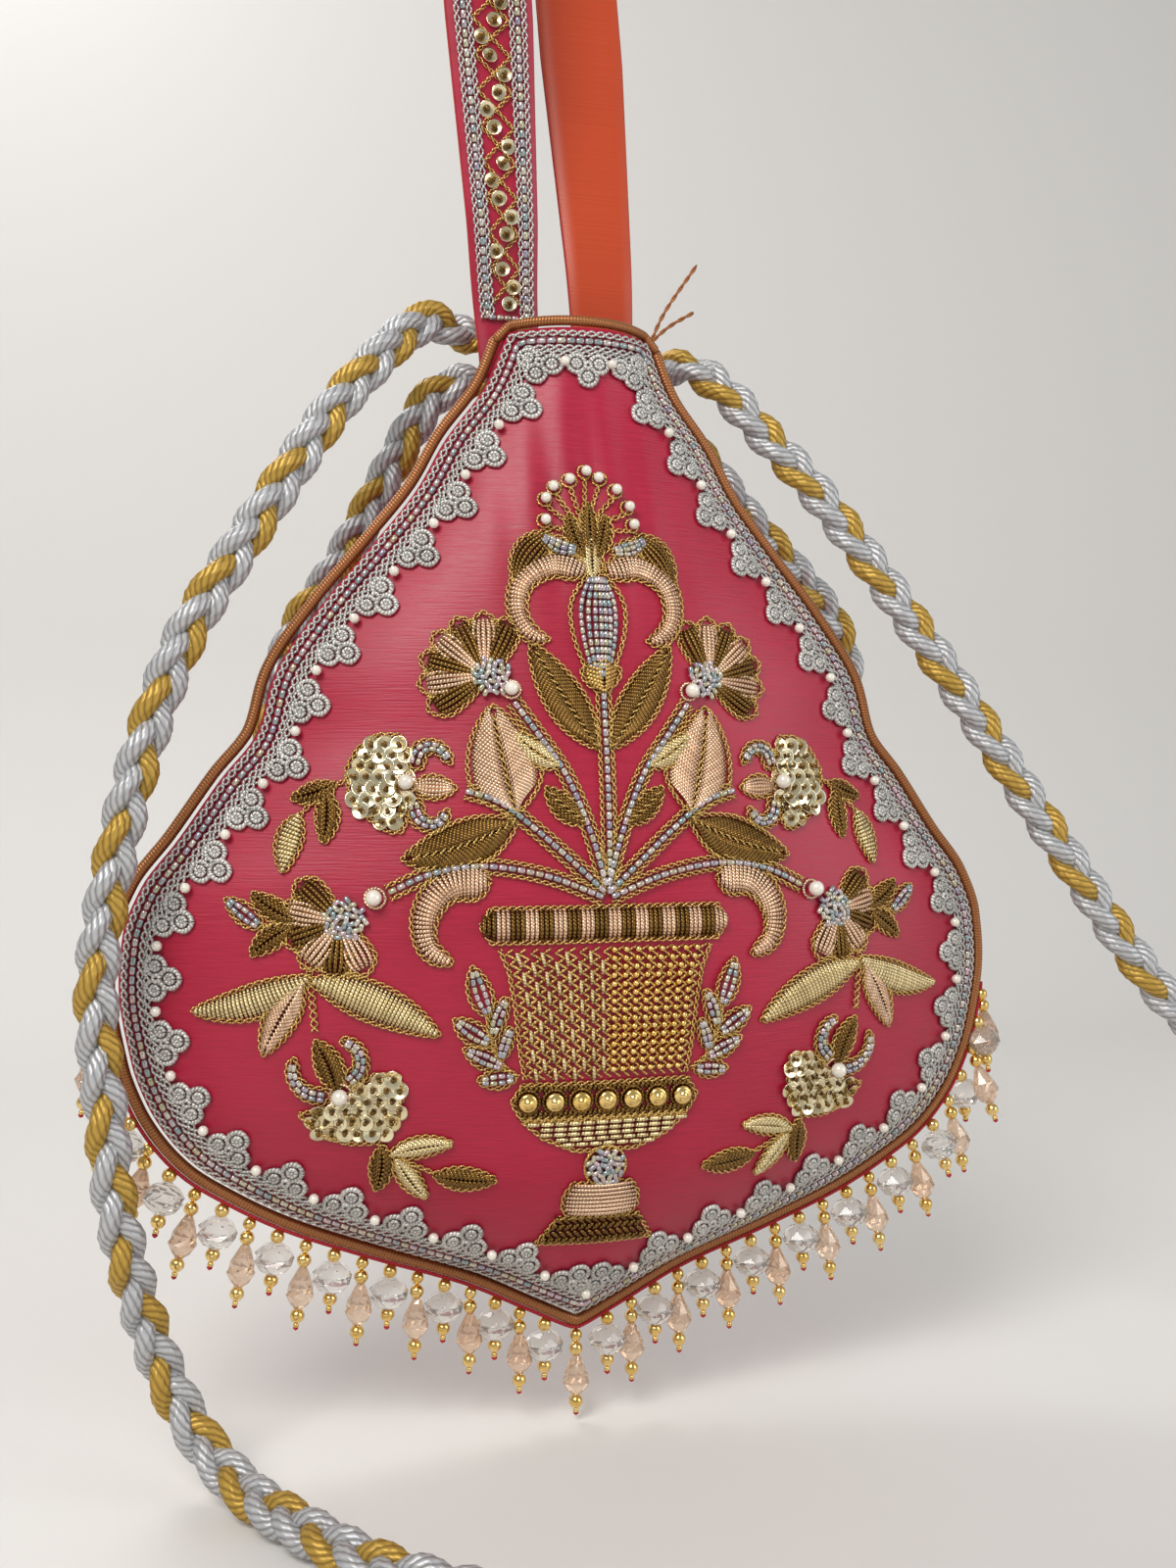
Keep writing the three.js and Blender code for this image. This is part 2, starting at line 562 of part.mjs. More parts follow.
// Bead fringe: turned drops on a thread line under the lower half of the edge
function drop(long) {
  const beads = long
    ? [[1.9, 3], [1.1, 7], [3.5, 13], [1.6, 19]]
    : [[1.6, 3], [4.9, 7], [4.6, 9.6], [1.6, 14]];
  const profile = [[0, 0], ...beads, [0, beads[beads.length - 1][1] + 2]];
  return new THREE.LatheGeometry(profile.map(([r, y]) => P(r, -y)).reverse(), 5);
}
const threadOut = pipeOut + PIPING + GAP + 1.1;
const line = edgePoints(2, 0)[0].total;
const spread = (DROPS_A_SIDE * DROP_PITCH + 2) / line;
const thread = edgePoints(61, threadOut, 0.5 - spread, 0.5 + spread)
  .map((e) => new THREE.Vector3(e.p.x, 0, e.p.y));
const fringe = [toSolid(tube(thread, 0.8, 60, 4))];
for (let k = -DROPS_A_SIDE; k <= DROPS_A_SIDE; k += 1) {
  const s = 0.5 + (k * DROP_PITCH) / line;
  const e = edgePoints(2, threadOut - 0.9, s, s + 1e-4)[0];
  const splay = THREE.MathUtils.degToRad(14 * Math.sign(k) * Math.min(Math.abs(k) / 14, 1) ** 2);
  const lean = THREE.MathUtils.degToRad(Math.abs(k) > 14 ? 13 * (((k + 30) % 3) - 1) : 0);
  const g = drop(k % 2 === 0);
  g.rotateY(k).rotateX(Math.PI / 2 + lean).rotateY(-splay).translate(e.p.x, 0, e.p.y);
  fringe.push(toSolid(g));
}
add("bead_fringe", closed(fromSolid(join(fringe))), crystal);

// Handle: one strap up, over the bend and down; its two plies lie either side of this middle line
const legHeights = [-STRAP_SEWN, -4, 0, 4, 9, 16, 34, 58, 84, HANDLE_RISE];
const foot = { left: -15.4, right: 9.2 };
const top = { left: -26, right: 3 };
const strap = [];
const rest = STRAP_PLY + STRAP_PART + STITCH;
function station(x, y, z, normal, width) {
  strap.push({ c: new THREE.Vector3(x, y, z), normal, width });
}
const legWidth = (z) => THREE.MathUtils.lerp(STRAP_FOOT, STRAP_TOP, Math.min(Math.max(z, 0) / 75, 1));
const leg = (name, y1, n) => (z) => {
  const f = z / HANDLE_RISE;
  const x = THREE.MathUtils.lerp(foot[name], top[name], f);
  const nearest = Math.max(Math.abs(x) - legWidth(z) / 2, 0);
  const sewn = depth(nearest, Math.min(z, -0.6 * STRAP_SEWN), MOUTH_BACK) + SEAM + CLOTH + rest;
  const free = THREE.MathUtils.lerp(6, y1, Math.max(f, 0));
  const y = THREE.MathUtils.lerp(sewn, free, THREE.MathUtils.smoothstep(z, 2, 30));
  station(x, y, z, new THREE.Vector3(0, n, 0), legWidth(z));
};
legHeights.forEach(leg("left", BEND_Y - BEND, -1));
const BEND_PARTS = 7;
for (let i = 1; i < BEND_PARTS; i += 1) {
  const a = Math.PI * (1 - i / BEND_PARTS);
  const n = new THREE.Vector3(0, Math.cos(a), Math.sin(a));
  station(THREE.MathUtils.lerp(top.left, top.right, i / BEND_PARTS), BEND_Y + BEND * n.y,
    HANDLE_RISE + BEND * n.z, n, STRAP_TOP);
}
[...legHeights].reverse().forEach(leg("right", BEND_Y + BEND, 1));
// A point of the strap: station number, share across from -1 to 1, height over the middle line
function onStrap(s, u, h) {
  const i = Math.min(Math.floor(s), strap.length - 2);
  const f = s - i;
  const [a, b] = [strap[i], strap[i + 1]];
  const at = (q) => q.c.clone().add(new THREE.Vector3((u * q.width) / 2, 0, 0))
    .addScaledVector(q.normal, h);
  return at(a).lerp(at(b), f);
}
function ply(low, high) {
  const rings = strap.map((_, s) => [
    ...[-1, 0, 1].map((u) => onStrap(s, u, high)),
    ...[1, 0, -1].map((u) => onStrap(s, u, low)),
  ]);
  return loft(rings);
}
add("handle_band", ply(STRAP_PART, STRAP_PART + STRAP_PLY), magenta);
add("handle_lining", ply(-STRAP_PART - STRAP_PLY, -STRAP_PART), orange);

// Trim on the strap's outer face: two bead rows closed at both ends, and a lattice with sequins
const first = 4;
const last = strap.length - 5;
const trimBase = 2 * STRAP_PART + STRAP_PLY + GAP;
const ribbon = (stops, height) =>
  toSolid(loft(stops.map(([s, from, to]) =>
    [[from, height], [to, height], [to, 0], [from, 0]].map(([u, h]) => onStrap(s, u, trimBase + h)))));
const beadRow = (u) => {
  const stops = [];
  for (let s = first; s <= last; s += 1) stops.push([s, u - 0.12, u + 0.12]);
  return ribbon(stops, TRIM);
};
const beadBar = (from, to) => ribbon([from, to].map((s) => [s, -0.72, 0.72]), TRIM);
const beadRows = join([
  beadRow(-0.6), beadRow(0.6), beadBar(first, first + 0.25), beadBar(last - 0.15, last),
]);
add("handle_bead_rows", closed(fromSolid(beadRows)), opal);

// Length along the strap up to a station number, and the station number at a length
const strapRun = [0];
strap.slice(1).forEach((q, i) => strapRun.push(strapRun[i] + q.c.distanceTo(strap[i].c)));
const stationAt = (length) => {
  let i = 0;
  while (i < strapRun.length - 2 && strapRun[i + 1] < length) i += 1;
  return i + (length - strapRun[i]) / (strapRun[i + 1] - strapRun[i]);
};
const [latticeFrom, latticeTo] = [strapRun[first] + 5, strapRun[last] - 5];
const turns = Math.round((latticeTo - latticeFrom) / LATTICE_PITCH);
const zig = Array.from({ length: turns + 1 }, (_, i) => [
  stationAt(THREE.MathUtils.lerp(latticeFrom, latticeTo, i / turns)), i % 2 ? 0.3 : -0.3,
]);
const bent = zig.flatMap((q, i) => (i ? [[(q[0] + zig[i - 1][0]) / 2, 0], q] : [q]));
const studs = [ribbon(bent.map(([s, u]) => [s, u - 0.07, u + 0.07]), LATTICE)];
zig.slice(1).forEach(([s], i) => {
  const middle = (s + zig[i][0]) / 2;
  const c = onStrap(middle, 0, trimBase + 0.1);
  const n = onStrap(middle, 0, trimBase + 1.1).sub(c).normalize();
  const g = new THREE.CylinderGeometry(2, 2, 1.3, 5).translate(0, 0.65, 0);
  g.applyQuaternion(new THREE.Quaternion().setFromUnitVectors(new THREE.Vector3(0, 1, 0), n));
  studs.push(toSolid(g.translate(c.x, c.y, c.z)));
});
add("handle_lattice", closed(fromSolid(join(studs))), gold);

// Cloth tabs behind the mouth corners, where the ends of the braided cord are sewn in
const TAB = { y0: 11, y1: 21, thick: 4.5 }; // behind the strap's feet, as deep as the cord
const CORD_Y = (TAB.y0 + TAB.y1) / 2;
const tabs = { left: { x: -18.5, z0: -13.5, z1: 8.4 }, right: { x: 19, z0: -20, z1: 2.4 } };
Object.entries(tabs).forEach(([name, { x, z0, z1 }]) => {
  const g = new THREE.BoxGeometry(TAB.thick, TAB.y1 - TAB.y0, z1 - z0);
  const inwards = (-Math.sign(x) * TAB.thick) / 2;
  add(`cord_tab_${name}`, g.translate(x + inwards, CORD_Y, (z0 + z1) / 2), magenta);
});

// Braided cord: the long sling in front, which lies on the table between its two ends
const ends = { left: tabs.left.x - GAP, right: tabs.right.x + GAP };
const TABLE = -BAG_HEIGHT - 27;
const LIE = TABLE + CORD;
const sling = [
  [ends.left, CORD_Y, 3], [-23, CORD_Y, 3.1], [-29, 15, 4.6], [-34.5, 11.5, 5.4], [-41, 7, 0.5],
  [-47.4, 2, -6.3],
  [-59.4, -4, -21.2], [-78.1, -11, -50.6], [-93.5, -15, -76.7], [-102.5, -17, -101.5],
  [-110, -18.5, -134], [-112.4, -19, -155], [-111, -20, -175], [-107.8, -20, -205],
  [-101.5, -14, -232], [-96.4, -13.5, -246], [-89.5, -17.5, -257], [-82, -28, LIE + 0.7],
  [-73.6, -42.5, LIE], [-57.7, -66, LIE], [-34, -86, LIE], [6, -100.5, LIE], [50, -112, LIE],
  [94, -119, LIE], [136, -118, LIE], [172, -110, LIE], [199, -96, LIE + 2], [215, -79, -252],
  [217, -64, -236], [208, -53, -219], [192, -44.5, -201.5], [172, -36, -184.5],
  [151.4, -28, -167.5], [119.9, -19, -121.2], [93.7, -12, -79.8], [64.4, -3, -37],
  [50.5, 1.5, -20.5], [39.2, 6, -7.3], [31.8, 11, -1.8], [26, 14.4, -2.6], [23, CORD_Y, -3],
  [ends.right, CORD_Y, -3],
];
// The slack loop that hangs behind the bag
const slack = [
  [ends.left, CORD_Y, -8], [-23, CORD_Y, -8], [-29, 15, -9.8], [-34.4, 14.6, -14], [-38.5, 14.5, -21],
  [-47, 16, -37.6], [-57, 19.5, -56.5], [-66.4, 23.5, -71.2], [-72, 28, -95], [-70, 32, -125],
  [-52, 35.5, -150], [-28, 38, -166], [4, 39, -172], [38, 38, -166], [66, 35, -148],
  [82, 32, -122], [86, 28, -95], [80.2, 22, -69], [65.5, 18, -53], [49.4, 14.5, -38.3],
  [40, 13, -27.8], [31.4, 13.6, -19.6], [26, 15, -15.4], [23, CORD_Y, -14.5], [ends.right, CORD_Y, -14.5],
];
const route = (list) => list.map((p) => new THREE.Vector3(...p));
add("braid_front", closed(tube(route(sling), CORD, 52, 8)), braid);
add("braid_back", closed(tube(route(slack), CORD, 24, 8)), braid);

// Two thread ends left free at the right corner of the mouth
const knot = [19.4, 0, 0.7];
const threadEnds = [[[22.4, -1, 7.6], [30.5, -3, 20]], [[24, -0.5, 4.8], [30, -2, 8.4]]];
add("thread_ends", closed(fromSolid(join(threadEnds.map((list) =>
  toSolid(tube(route([knot, ...list]), 0.6, 4, 8)))))), copper);

// Everything is measured from the mouth; move it so that the flat under the bend is the origin
const middle = (strap.length - 1) / 2;
const seat = onStrap(middle, 0, -STRAP_PART - STRAP_PLY);
bag.position.copy(seat).negate();

export default part;
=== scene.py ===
# %% [markdown]
# An embroidered potli bag: a flat pouch of crimson silk with a vase of flowers worked in metal
# thread, a lace edge, a fringe of crystal drops, a beaded strap and a long braided cord.
# It could be sculpted by eye, but thousands of threads and beads are easier to place by measure,
# so every piece here is worked out from a formula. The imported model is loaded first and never
# moved. Each soft solid in it is then replaced by a finer piece that lies in the same place.

# %% Load the frame
import bpy
import numpy as np
from mathutils import Matrix


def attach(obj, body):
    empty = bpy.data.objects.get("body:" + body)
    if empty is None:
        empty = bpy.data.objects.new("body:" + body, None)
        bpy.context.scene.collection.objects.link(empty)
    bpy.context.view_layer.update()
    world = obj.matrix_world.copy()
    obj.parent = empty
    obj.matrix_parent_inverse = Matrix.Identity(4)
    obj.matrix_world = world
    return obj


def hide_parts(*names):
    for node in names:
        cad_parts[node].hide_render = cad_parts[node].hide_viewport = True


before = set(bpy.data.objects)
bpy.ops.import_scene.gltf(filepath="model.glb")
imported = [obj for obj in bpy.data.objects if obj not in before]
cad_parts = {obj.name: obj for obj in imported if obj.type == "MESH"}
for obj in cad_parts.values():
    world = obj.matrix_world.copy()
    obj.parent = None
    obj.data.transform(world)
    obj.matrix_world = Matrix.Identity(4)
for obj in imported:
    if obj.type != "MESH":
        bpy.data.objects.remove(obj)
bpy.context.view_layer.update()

print("nodes in the frame:", len(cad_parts))

# %% [markdown]
# All shapes are worked out in millimetres from the middle of the bag's mouth, with the
# embroidered front facing -Y. The frame's own origin is under the bend of the handle, so one
# function moves finished points there and turns them into metres.

# %% Sizes of the bag, in millimetres
BAG_HEIGHT = 241.0
BELLY_HALF = 108.5
BULGE = 28.0
MOUTH_FRONT = 9.0
MOUTH_BACK = 4.0
CLOTH = 1.2
SEAM = 0.15
PIPING = 1.4
PIPE_OUT = 2.1
TABLE = -268.0
SEAT = np.array([-11.5, 4.0, 121.748])
chance = np.random.default_rng(11)


def placed(points):
    """Metres in the frame = (millimetres of the bag - place of the seat) / 1000."""
    return (np.asarray(points, float) - SEAT) / 1000


def unit(v):
    """Vectors divided by their own lengths."""
    return v / np.maximum(np.linalg.norm(v, axis=-1, keepdims=True), 1e-9)


print("mouth of the bag in the frame:", placed([0, 0, 0]).round(4))

# %% [markdown]
# The camera stands a little to the bag's left and level with its middle. It could be placed by
# eye, but its place and focal length were worked out from the outline of the bag, so that sizes
# near and far agree. A camera looks along its own -Z, which gives the third column below.

# %% Camera
CAMERA_AT = [-93.863, -364.724, -106.204]
CAMERA_AIM = [0.25699, 0.96636, -0.00971]
camera = bpy.data.objects.new("camera", bpy.data.cameras.new("camera"))
bpy.context.scene.collection.objects.link(camera)
camera.data.lens = 46.5
camera.data.sensor_fit = "HORIZONTAL"
camera.data.sensor_width = 36
camera.data.clip_start = 0.01
ahead = unit(np.array(CAMERA_AIM))
right = unit(np.cross(ahead, [0, 0, 1]))
above = np.cross(right, ahead)
stand = np.eye(4)
stand[:3, :] = np.stack([right, above, -ahead, placed(CAMERA_AT)], axis=1)
camera.matrix_world = Matrix(stand.tolist())
bpy.context.scene.camera = camera
bpy.context.scene.view_settings.view_transform = "Standard"
print("camera at", stand[:3, 3].round(3))

# %% [markdown]
# The stage is one pale sheet, as in a photographer's studio. Two planes would meet in a line
# that cuts across the picture, so the floor turns up behind the bag in a wide curve instead.
# Three large soft lamps and an even sky light the bag, because a small lamp would make hard
# black shadows between the threads.

# %% Stage and light
def stage_sheet(start=0.45, radius=0.25, reach=1.8):
    """A floor, then y = start + radius * sin a and z = radius - radius * cos a, then a wall."""
    floor_z = placed([0, 0, TABLE])[2] - 0.0005
    a = np.linspace(0, np.pi / 2, 17)
    y = np.concatenate([[-1.6, -0.6, 0.2], start + radius * np.sin(a), [start + radius]])
    z = np.concatenate([[0, 0, 0], radius - radius * np.cos(a), [reach]]) + floor_z
    x = np.array([-reach, reach])
    verts = np.stack(np.broadcast_arrays(x[None, :], y[:, None], z[:, None]), -1).reshape(-1, 3)
    faces = [(2 * i, 2 * i + 1, 2 * i + 3, 2 * i + 2) for i in range(len(y) - 1)]
    mesh = bpy.data.meshes.new("stage")
    mesh.from_pydata(verts.tolist(), [], faces)
    mesh.polygons.foreach_set("use_smooth", [True] * len(faces))
    return bpy.data.objects.new("stage", mesh)


def soft_lamp(name, place, aim, size, power, colour=(1, 1, 1)):
    """A square lamp at a place in metres, turned so that it faces its aim."""
    lamp = bpy.data.objects.new(name, bpy.data.lights.new(name, "AREA"))
    bpy.context.scene.collection.objects.link(lamp)
    lamp.data.size, lamp.data.energy, lamp.data.color = size, power, colour
    z = unit(np.array(place, float) - np.array(aim, float))
    x = unit(np.cross([0, 0, 1], z))
    m = np.eye(4)
    m[:3, :] = np.stack([x, np.cross(z, x), z, np.array(place, float)], axis=1)
    lamp.matrix_world = Matrix(m.tolist())


stage = stage_sheet()
bpy.context.scene.collection.objects.link(stage)
paper = bpy.data.materials.new("pale_paper")
paper.use_nodes = True
sheet_look = paper.node_tree.nodes["Principled BSDF"].inputs
sheet_look["Base Color"].default_value = (0.74, 0.72, 0.69, 1)
sheet_look["Roughness"].default_value = 0.8
stage.data.materials.append(paper)
middle = placed([0, 0, -120])
soft_lamp("window", middle + [-0.5, -0.7, 0.75], middle, 0.55, 9.5, (1, 0.98, 0.95))
soft_lamp("fill", middle + [0.9, -0.6, 0.25], middle, 0.7, 3.5, (0.96, 0.98, 1))
soft_lamp("back", middle + [-0.3, 0.5, 0.8], middle, 0.4, 2.5)
world = bpy.data.worlds.new("sky")
bpy.context.scene.world = world
world.use_nodes = True
sky_look = world.node_tree.nodes["Background"].inputs
sky_look["Color"].default_value = (0.9, 0.92, 0.95, 1)
sky_look["Strength"].default_value = 0.42

# %% [markdown]
# Every finish here is cloth, thread or bead, and each is a small tree of shader nodes. Nodes can
# be added and wired one line at a time, but that hides what a material does. A small helper adds
# a node with its inputs set or linked in one call, so that each material stays short.

# %% Node helpers
def adder(tree):
    """A function that adds a node to a tree: a socket given as input is linked, a number is set."""
    def add(kind, inputs=None, **settings):
        node = tree.nodes.new(kind)
        for key, value in settings.items():
            setattr(node, key, value)
        for key, value in (inputs or {}).items():
            if isinstance(value, bpy.types.NodeSocket):
                tree.links.new(value, node.inputs[key])
            else:
                node.inputs[key].default_value = value
        return node
    return add


def mathing(add):
    """A function for one math node: its name, then one or two inputs."""
    def calc(operation, a, b=0.0):
        return add("ShaderNodeMath", {0: a, 1: b}, operation=operation).outputs[0]
    return calc


def new_group(name, inputs, outputs):
    """An empty shader group with float or colour sockets."""
    group = bpy.data.node_groups.new(name, "ShaderNodeTree")
    for label, kind, value in inputs:
        socket = group.interface.new_socket(label, in_out="INPUT", socket_type="NodeSocket" + kind)
        socket.default_value = value
    for label, kind in outputs:
        group.interface.new_socket(label, in_out="OUTPUT", socket_type="NodeSocket" + kind)
    return group


def finish_of(name, roughness=0.5, metallic=0.0, **uniform):
    """A new material with its shader's even values set, and its node adder."""
    made = bpy.data.materials.new(name)
    made.use_nodes = True
    shader = made.node_tree.nodes["Principled BSDF"]
    shader.inputs["Roughness"].default_value = roughness
    shader.inputs["Metallic"].default_value = metallic
    for label, value in uniform.items():
        shader.inputs[label.replace("_", " ")].default_value = value
    return made, shader, adder(made.node_tree)


print("node helpers ready")

# %% [markdown]
# Metal thread is a fine wire twisted round a core. Its look is a slanting groove that runs round
# it, with small changes of tone from one length to the next. Every coil could be modelled, but
# that would take millions of faces, so the groove is drawn in the material, as a bump and as
# painted shade that makes the colour darker in the groove than on the ridge. The group below
# works from the piece's own UV map, where U is millimetres along a thread and V goes once
# around it, and it's shared by all nine threads, each with its own colours and pitch.

# %% Twisted thread group
def twist_group():
    """Height = |sin(pi * (U / pitch + turns * V))|; the groove is painted darker than the ridge, as
    painted shade between the coils.
    """
    group = new_group(
        "twisted thread",
        [("Light", "Color", (1, 1, 1, 1)), ("Dark", "Color", (0, 0, 0, 1)),
         ("Pitch", "Float", 1.0), ("Turns", "Float", 1.0)],
        [("Color", "Color"), ("Height", "Float")],
    )
    add = adder(group)
    calc = mathing(add)
    given = add("NodeGroupInput")
    uv = add("ShaderNodeSeparateXYZ", {0: add("ShaderNodeUVMap", uv_map="UVMap").outputs[0]})
    along = calc("DIVIDE", uv.outputs[0], given.outputs["Pitch"])
    around = calc("MULTIPLY", uv.outputs[1], given.outputs["Turns"])
    wave = calc("ABSOLUTE", calc("SINE", calc("MULTIPLY", calc("ADD", along, around), np.pi)))
    tint = add("ShaderNodeAttribute", attribute_name="tint").outputs["Fac"]
    # Painted shade: the mix runs from the Dark colour in the groove to the Light colour on the
    # ridge, and the tint adds tone that differs at random from one length to the next.
    ridge = calc("MULTIPLY", calc("POWER", wave, 0.7), 0.75)
    shade = calc("ADD", ridge, calc("MULTIPLY", tint, 0.35))
    mixed = add("ShaderNodeMix", {0: shade, 6: given.outputs["Dark"], 7: given.outputs["Light"]},
                data_type="RGBA", clamp_factor=True)
    add("NodeGroupOutput", {"Color": mixed.outputs[2], "Height": wave})
    return group


TWIST = twist_group()


def thread(name, light, dark, pitch=0.9, turns=1.0, metallic=0.85, roughness=0.34, depth=0.5):
    """A material of twisted thread: tone and relief from the shared group. Its dark colour is the
    painted shade in the groove.
    """
    made, shader, add = finish_of(name, roughness, metallic)
    twist = add("ShaderNodeGroup", {}, node_tree=TWIST)
    twist.inputs["Light"].default_value = (*light, 1)
    twist.inputs["Dark"].default_value = (*dark, 1)
    twist.inputs["Pitch"].default_value = pitch
    twist.inputs["Turns"].default_value = turns
    bump = add("ShaderNodeBump", {"Height": twist.outputs["Height"], "Distance": 0.0003,
                                  "Strength": depth})
    made.node_tree.links.new(twist.outputs["Color"], shader.inputs["Base Color"])
    made.node_tree.links.new(bump.outputs[0], shader.inputs["Normal"])
    return made


# For each thread the first colour is its own colour on the ridge, and the second is the painted
# shade in its groove.
gold = thread("gold_thread", (0.78, 0.52, 0.17), (0.26, 0.14, 0.03))
bronze = thread("bronze_bullion", (0.27, 0.145, 0.035), (0.03, 0.012, 0.002), roughness=0.24)
rose = thread("rose_gold_bullion", (0.9, 0.62, 0.42), (0.28, 0.14, 0.07), pitch=0.8,
              roughness=0.28)
pale = thread("pale_gold_bullion", (0.88, 0.72, 0.4), (0.32, 0.22, 0.08), pitch=0.8,
              roughness=0.28)
silver = thread("silver_thread", (0.72, 0.7, 0.66), (0.2, 0.19, 0.17), metallic=0.55,
                roughness=0.38)
wrap = thread("copper_wrapping", (0.42, 0.16, 0.05), (0.13, 0.04, 0.012), pitch=0.75,
              metallic=0.5, roughness=0.36, depth=0.35)
grey_yarn = thread("grey_braid_yarn", (0.56, 0.56, 0.57), (0.17, 0.17, 0.17), pitch=1.5, turns=7,
                   metallic=0.45, roughness=0.45, depth=0.7)
gold_yarn = thread("gold_braid_yarn", (0.55, 0.34, 0.06), (0.18, 0.1, 0.012), pitch=1.5, turns=7,
                   metallic=0.45, roughness=0.45, depth=0.7)
red_thread = thread("red_thread", (0.5, 0.01, 0.02), (0.2, 0.0, 0.01), metallic=0.0, roughness=0.7)
print("thread finishes made")

# %% [markdown]
# The pouch is slubbed silk. Its weft has thick and thin places, which show as short level
# streaks, and it shines where it turns from the light. The satin inside the strap and the
# mouth is smoother, with fine lines along its length. A photograph of cloth is the usual way.
# Noise that is drawn out in one direction gives the same streaks at any size and never repeats,
# and two values of one group then serve for both cloths.

# %% Woven cloth group
def weave_group():
    """Streaks are noise drawn out along U, and Fine sets how finely the noise changes across V."""
    group = new_group(
        "woven cloth",
        [("Light", "Color", (1, 1, 1, 1)), ("Dark", "Color", (0, 0, 0, 1)),
         ("Streak", "Float", 0.06), ("Fine", "Float", 1.0)],
        [("Color", "Color"), ("Height", "Float"), ("Roughness", "Float")],
    )
    add = adder(group)
    calc = mathing(add)
    given = add("NodeGroupInput")
    uv = add("ShaderNodeSeparateXYZ", {0: add("ShaderNodeUVMap", uv_map="UVMap").outputs[0]})
    drawn = add("ShaderNodeCombineXYZ", {
        0: calc("MULTIPLY", uv.outputs[0], given.outputs["Streak"]),
        1: calc("MULTIPLY", uv.outputs[1], given.outputs["Fine"]),
    })
    slub = add("ShaderNodeTexNoise", {"Vector": drawn.outputs[0], "Scale": 1.0, "Detail": 4.0})
    broad = add("ShaderNodeTexNoise", {"Vector": add("ShaderNodeUVMap", uv_map="UVMap").outputs[0],
                                       "Scale": 0.03, "Detail": 2.0})
    shade = calc("ADD", calc("MULTIPLY", slub.outputs[0], 0.8),
                 calc("MULTIPLY", broad.outputs[0], 0.5))
    mixed = add("ShaderNodeMix", {0: calc("SUBTRACT", shade, 0.2), 6: given.outputs["Dark"],
                                  7: given.outputs["Light"]}, data_type="RGBA", clamp_factor=True)
    add("NodeGroupOutput", {"Color": mixed.outputs[2], "Height": slub.outputs[0],
                            "Roughness": calc("ADD", calc("MULTIPLY", slub.outputs[0], 0.25), 0.3)})
    return group


WEAVE = weave_group()


def cloth(name, light, dark, streak, fine, depth, **uniform):
    """A woven material: streaks in its tone, relief and gloss from the shared group."""
    made, shader, add = finish_of(name, **uniform)
    weave = add("ShaderNodeGroup", {}, node_tree=WEAVE)
    values = {"Light": (*light, 1), "Dark": (*dark, 1), "Streak": streak, "Fine": fine}
    for label, value in values.items():
        weave.inputs[label].default_value = value
    bump = add("ShaderNodeBump", {"Height": weave.outputs["Height"], "Distance": 0.0002,
                                  "Strength": depth})
    made.node_tree.links.new(weave.outputs["Color"], shader.inputs["Base Color"])
    made.node_tree.links.new(weave.outputs["Roughness"], shader.inputs["Roughness"])
    made.node_tree.links.new(bump.outputs[0], shader.inputs["Normal"])
    return made


silk = cloth("crimson_silk", (0.5, 0.006, 0.05), (0.26, 0.002, 0.016), 0.12, 2.2, 0.5,
             Sheen_Weight=0.06, Sheen_Roughness=0.4)
satin = cloth("orange_satin", (0.56, 0.06, 0.004), (0.38, 0.032, 0.002), 2.0, 0.05, 0.25,
              Sheen_Weight=0.05)
print("cloth finishes made")

# %% [markdown]
# Beads and sequins are glass and plated metal. The bugle beads have a film that turns grey,
# lilac, teal or gold from one bead to the next. A material for each colour would do, at the
# cost of sorting the beads. Here each bead carries a tint value between 0 and 1 on its points
# instead, and a colour ramp turns that value into its film's colour.

# %% Bead finishes
def tinted(name, stops, roughness, metallic, **uniform):
    """A material whose colour runs through the stops by each bead's own tint."""
    made, shader, add = finish_of(name, roughness, metallic, **uniform)
    tint = add("ShaderNodeAttribute", attribute_name="tint").outputs["Fac"]
    ramp = add("ShaderNodeValToRGB", {0: tint})
    spots = ramp.color_ramp.elements
    spots.remove(spots[1])
    for i, colour in enumerate(stops):
        spot = spots[0] if i == 0 else spots.new(i / (len(stops) - 1))
        spot.color = (*colour, 1)
    made.node_tree.links.new(ramp.outputs[0], shader.inputs["Base Color"])
    return made


opal = tinted("opal_bugle_beads", [(0.36, 0.34, 0.36), (0.26, 0.34, 0.34), (0.56, 0.42, 0.46),
                                   (0.46, 0.42, 0.26), (0.62, 0.57, 0.5), (0.3, 0.26, 0.36)],
              0.16, 0.5, Coat_Weight=0.8, Coat_Roughness=0.05)
pearl = tinted("cream_pearls", [(0.78, 0.72, 0.62), (0.86, 0.8, 0.7)], 0.22, 0.1, Coat_Weight=0.7)
gold_bead = tinted("gold_beads", [(0.83, 0.55, 0.16), (0.9, 0.66, 0.26)], 0.18, 1.0)
sequin = tinted("pale_gold_sequins", [(0.62, 0.5, 0.27), (0.88, 0.8, 0.56), (0.72, 0.6, 0.36)],
                0.22, 0.95)
clear = tinted("clear_crystal", [(0.95, 0.93, 0.9), (0.9, 0.85, 0.8)], 0.03, 0.0,
               Transmission_Weight=0.85, IOR=1.55)
champagne = tinted("champagne_crystal", [(0.95, 0.76, 0.6), (0.92, 0.68, 0.5)], 0.04, 0.1,
                   Transmission_Weight=0.75, IOR=1.55)
print("bead finishes made")

# %% [markdown]
# The pouch is two panels of silk on one outline, domed by what is inside. Two flat sheets could
# be blown up by a cloth simulation, but their edge would then wander, and the lace, the piping
# and the flowers all have to lie on it. So the dome is a formula. A few knots give half of its
# width at each depth, and a second curve gives how far it swells. Across the panel the swell
# falls as one minus a power of the share of the half width, which is a soft cushion section.

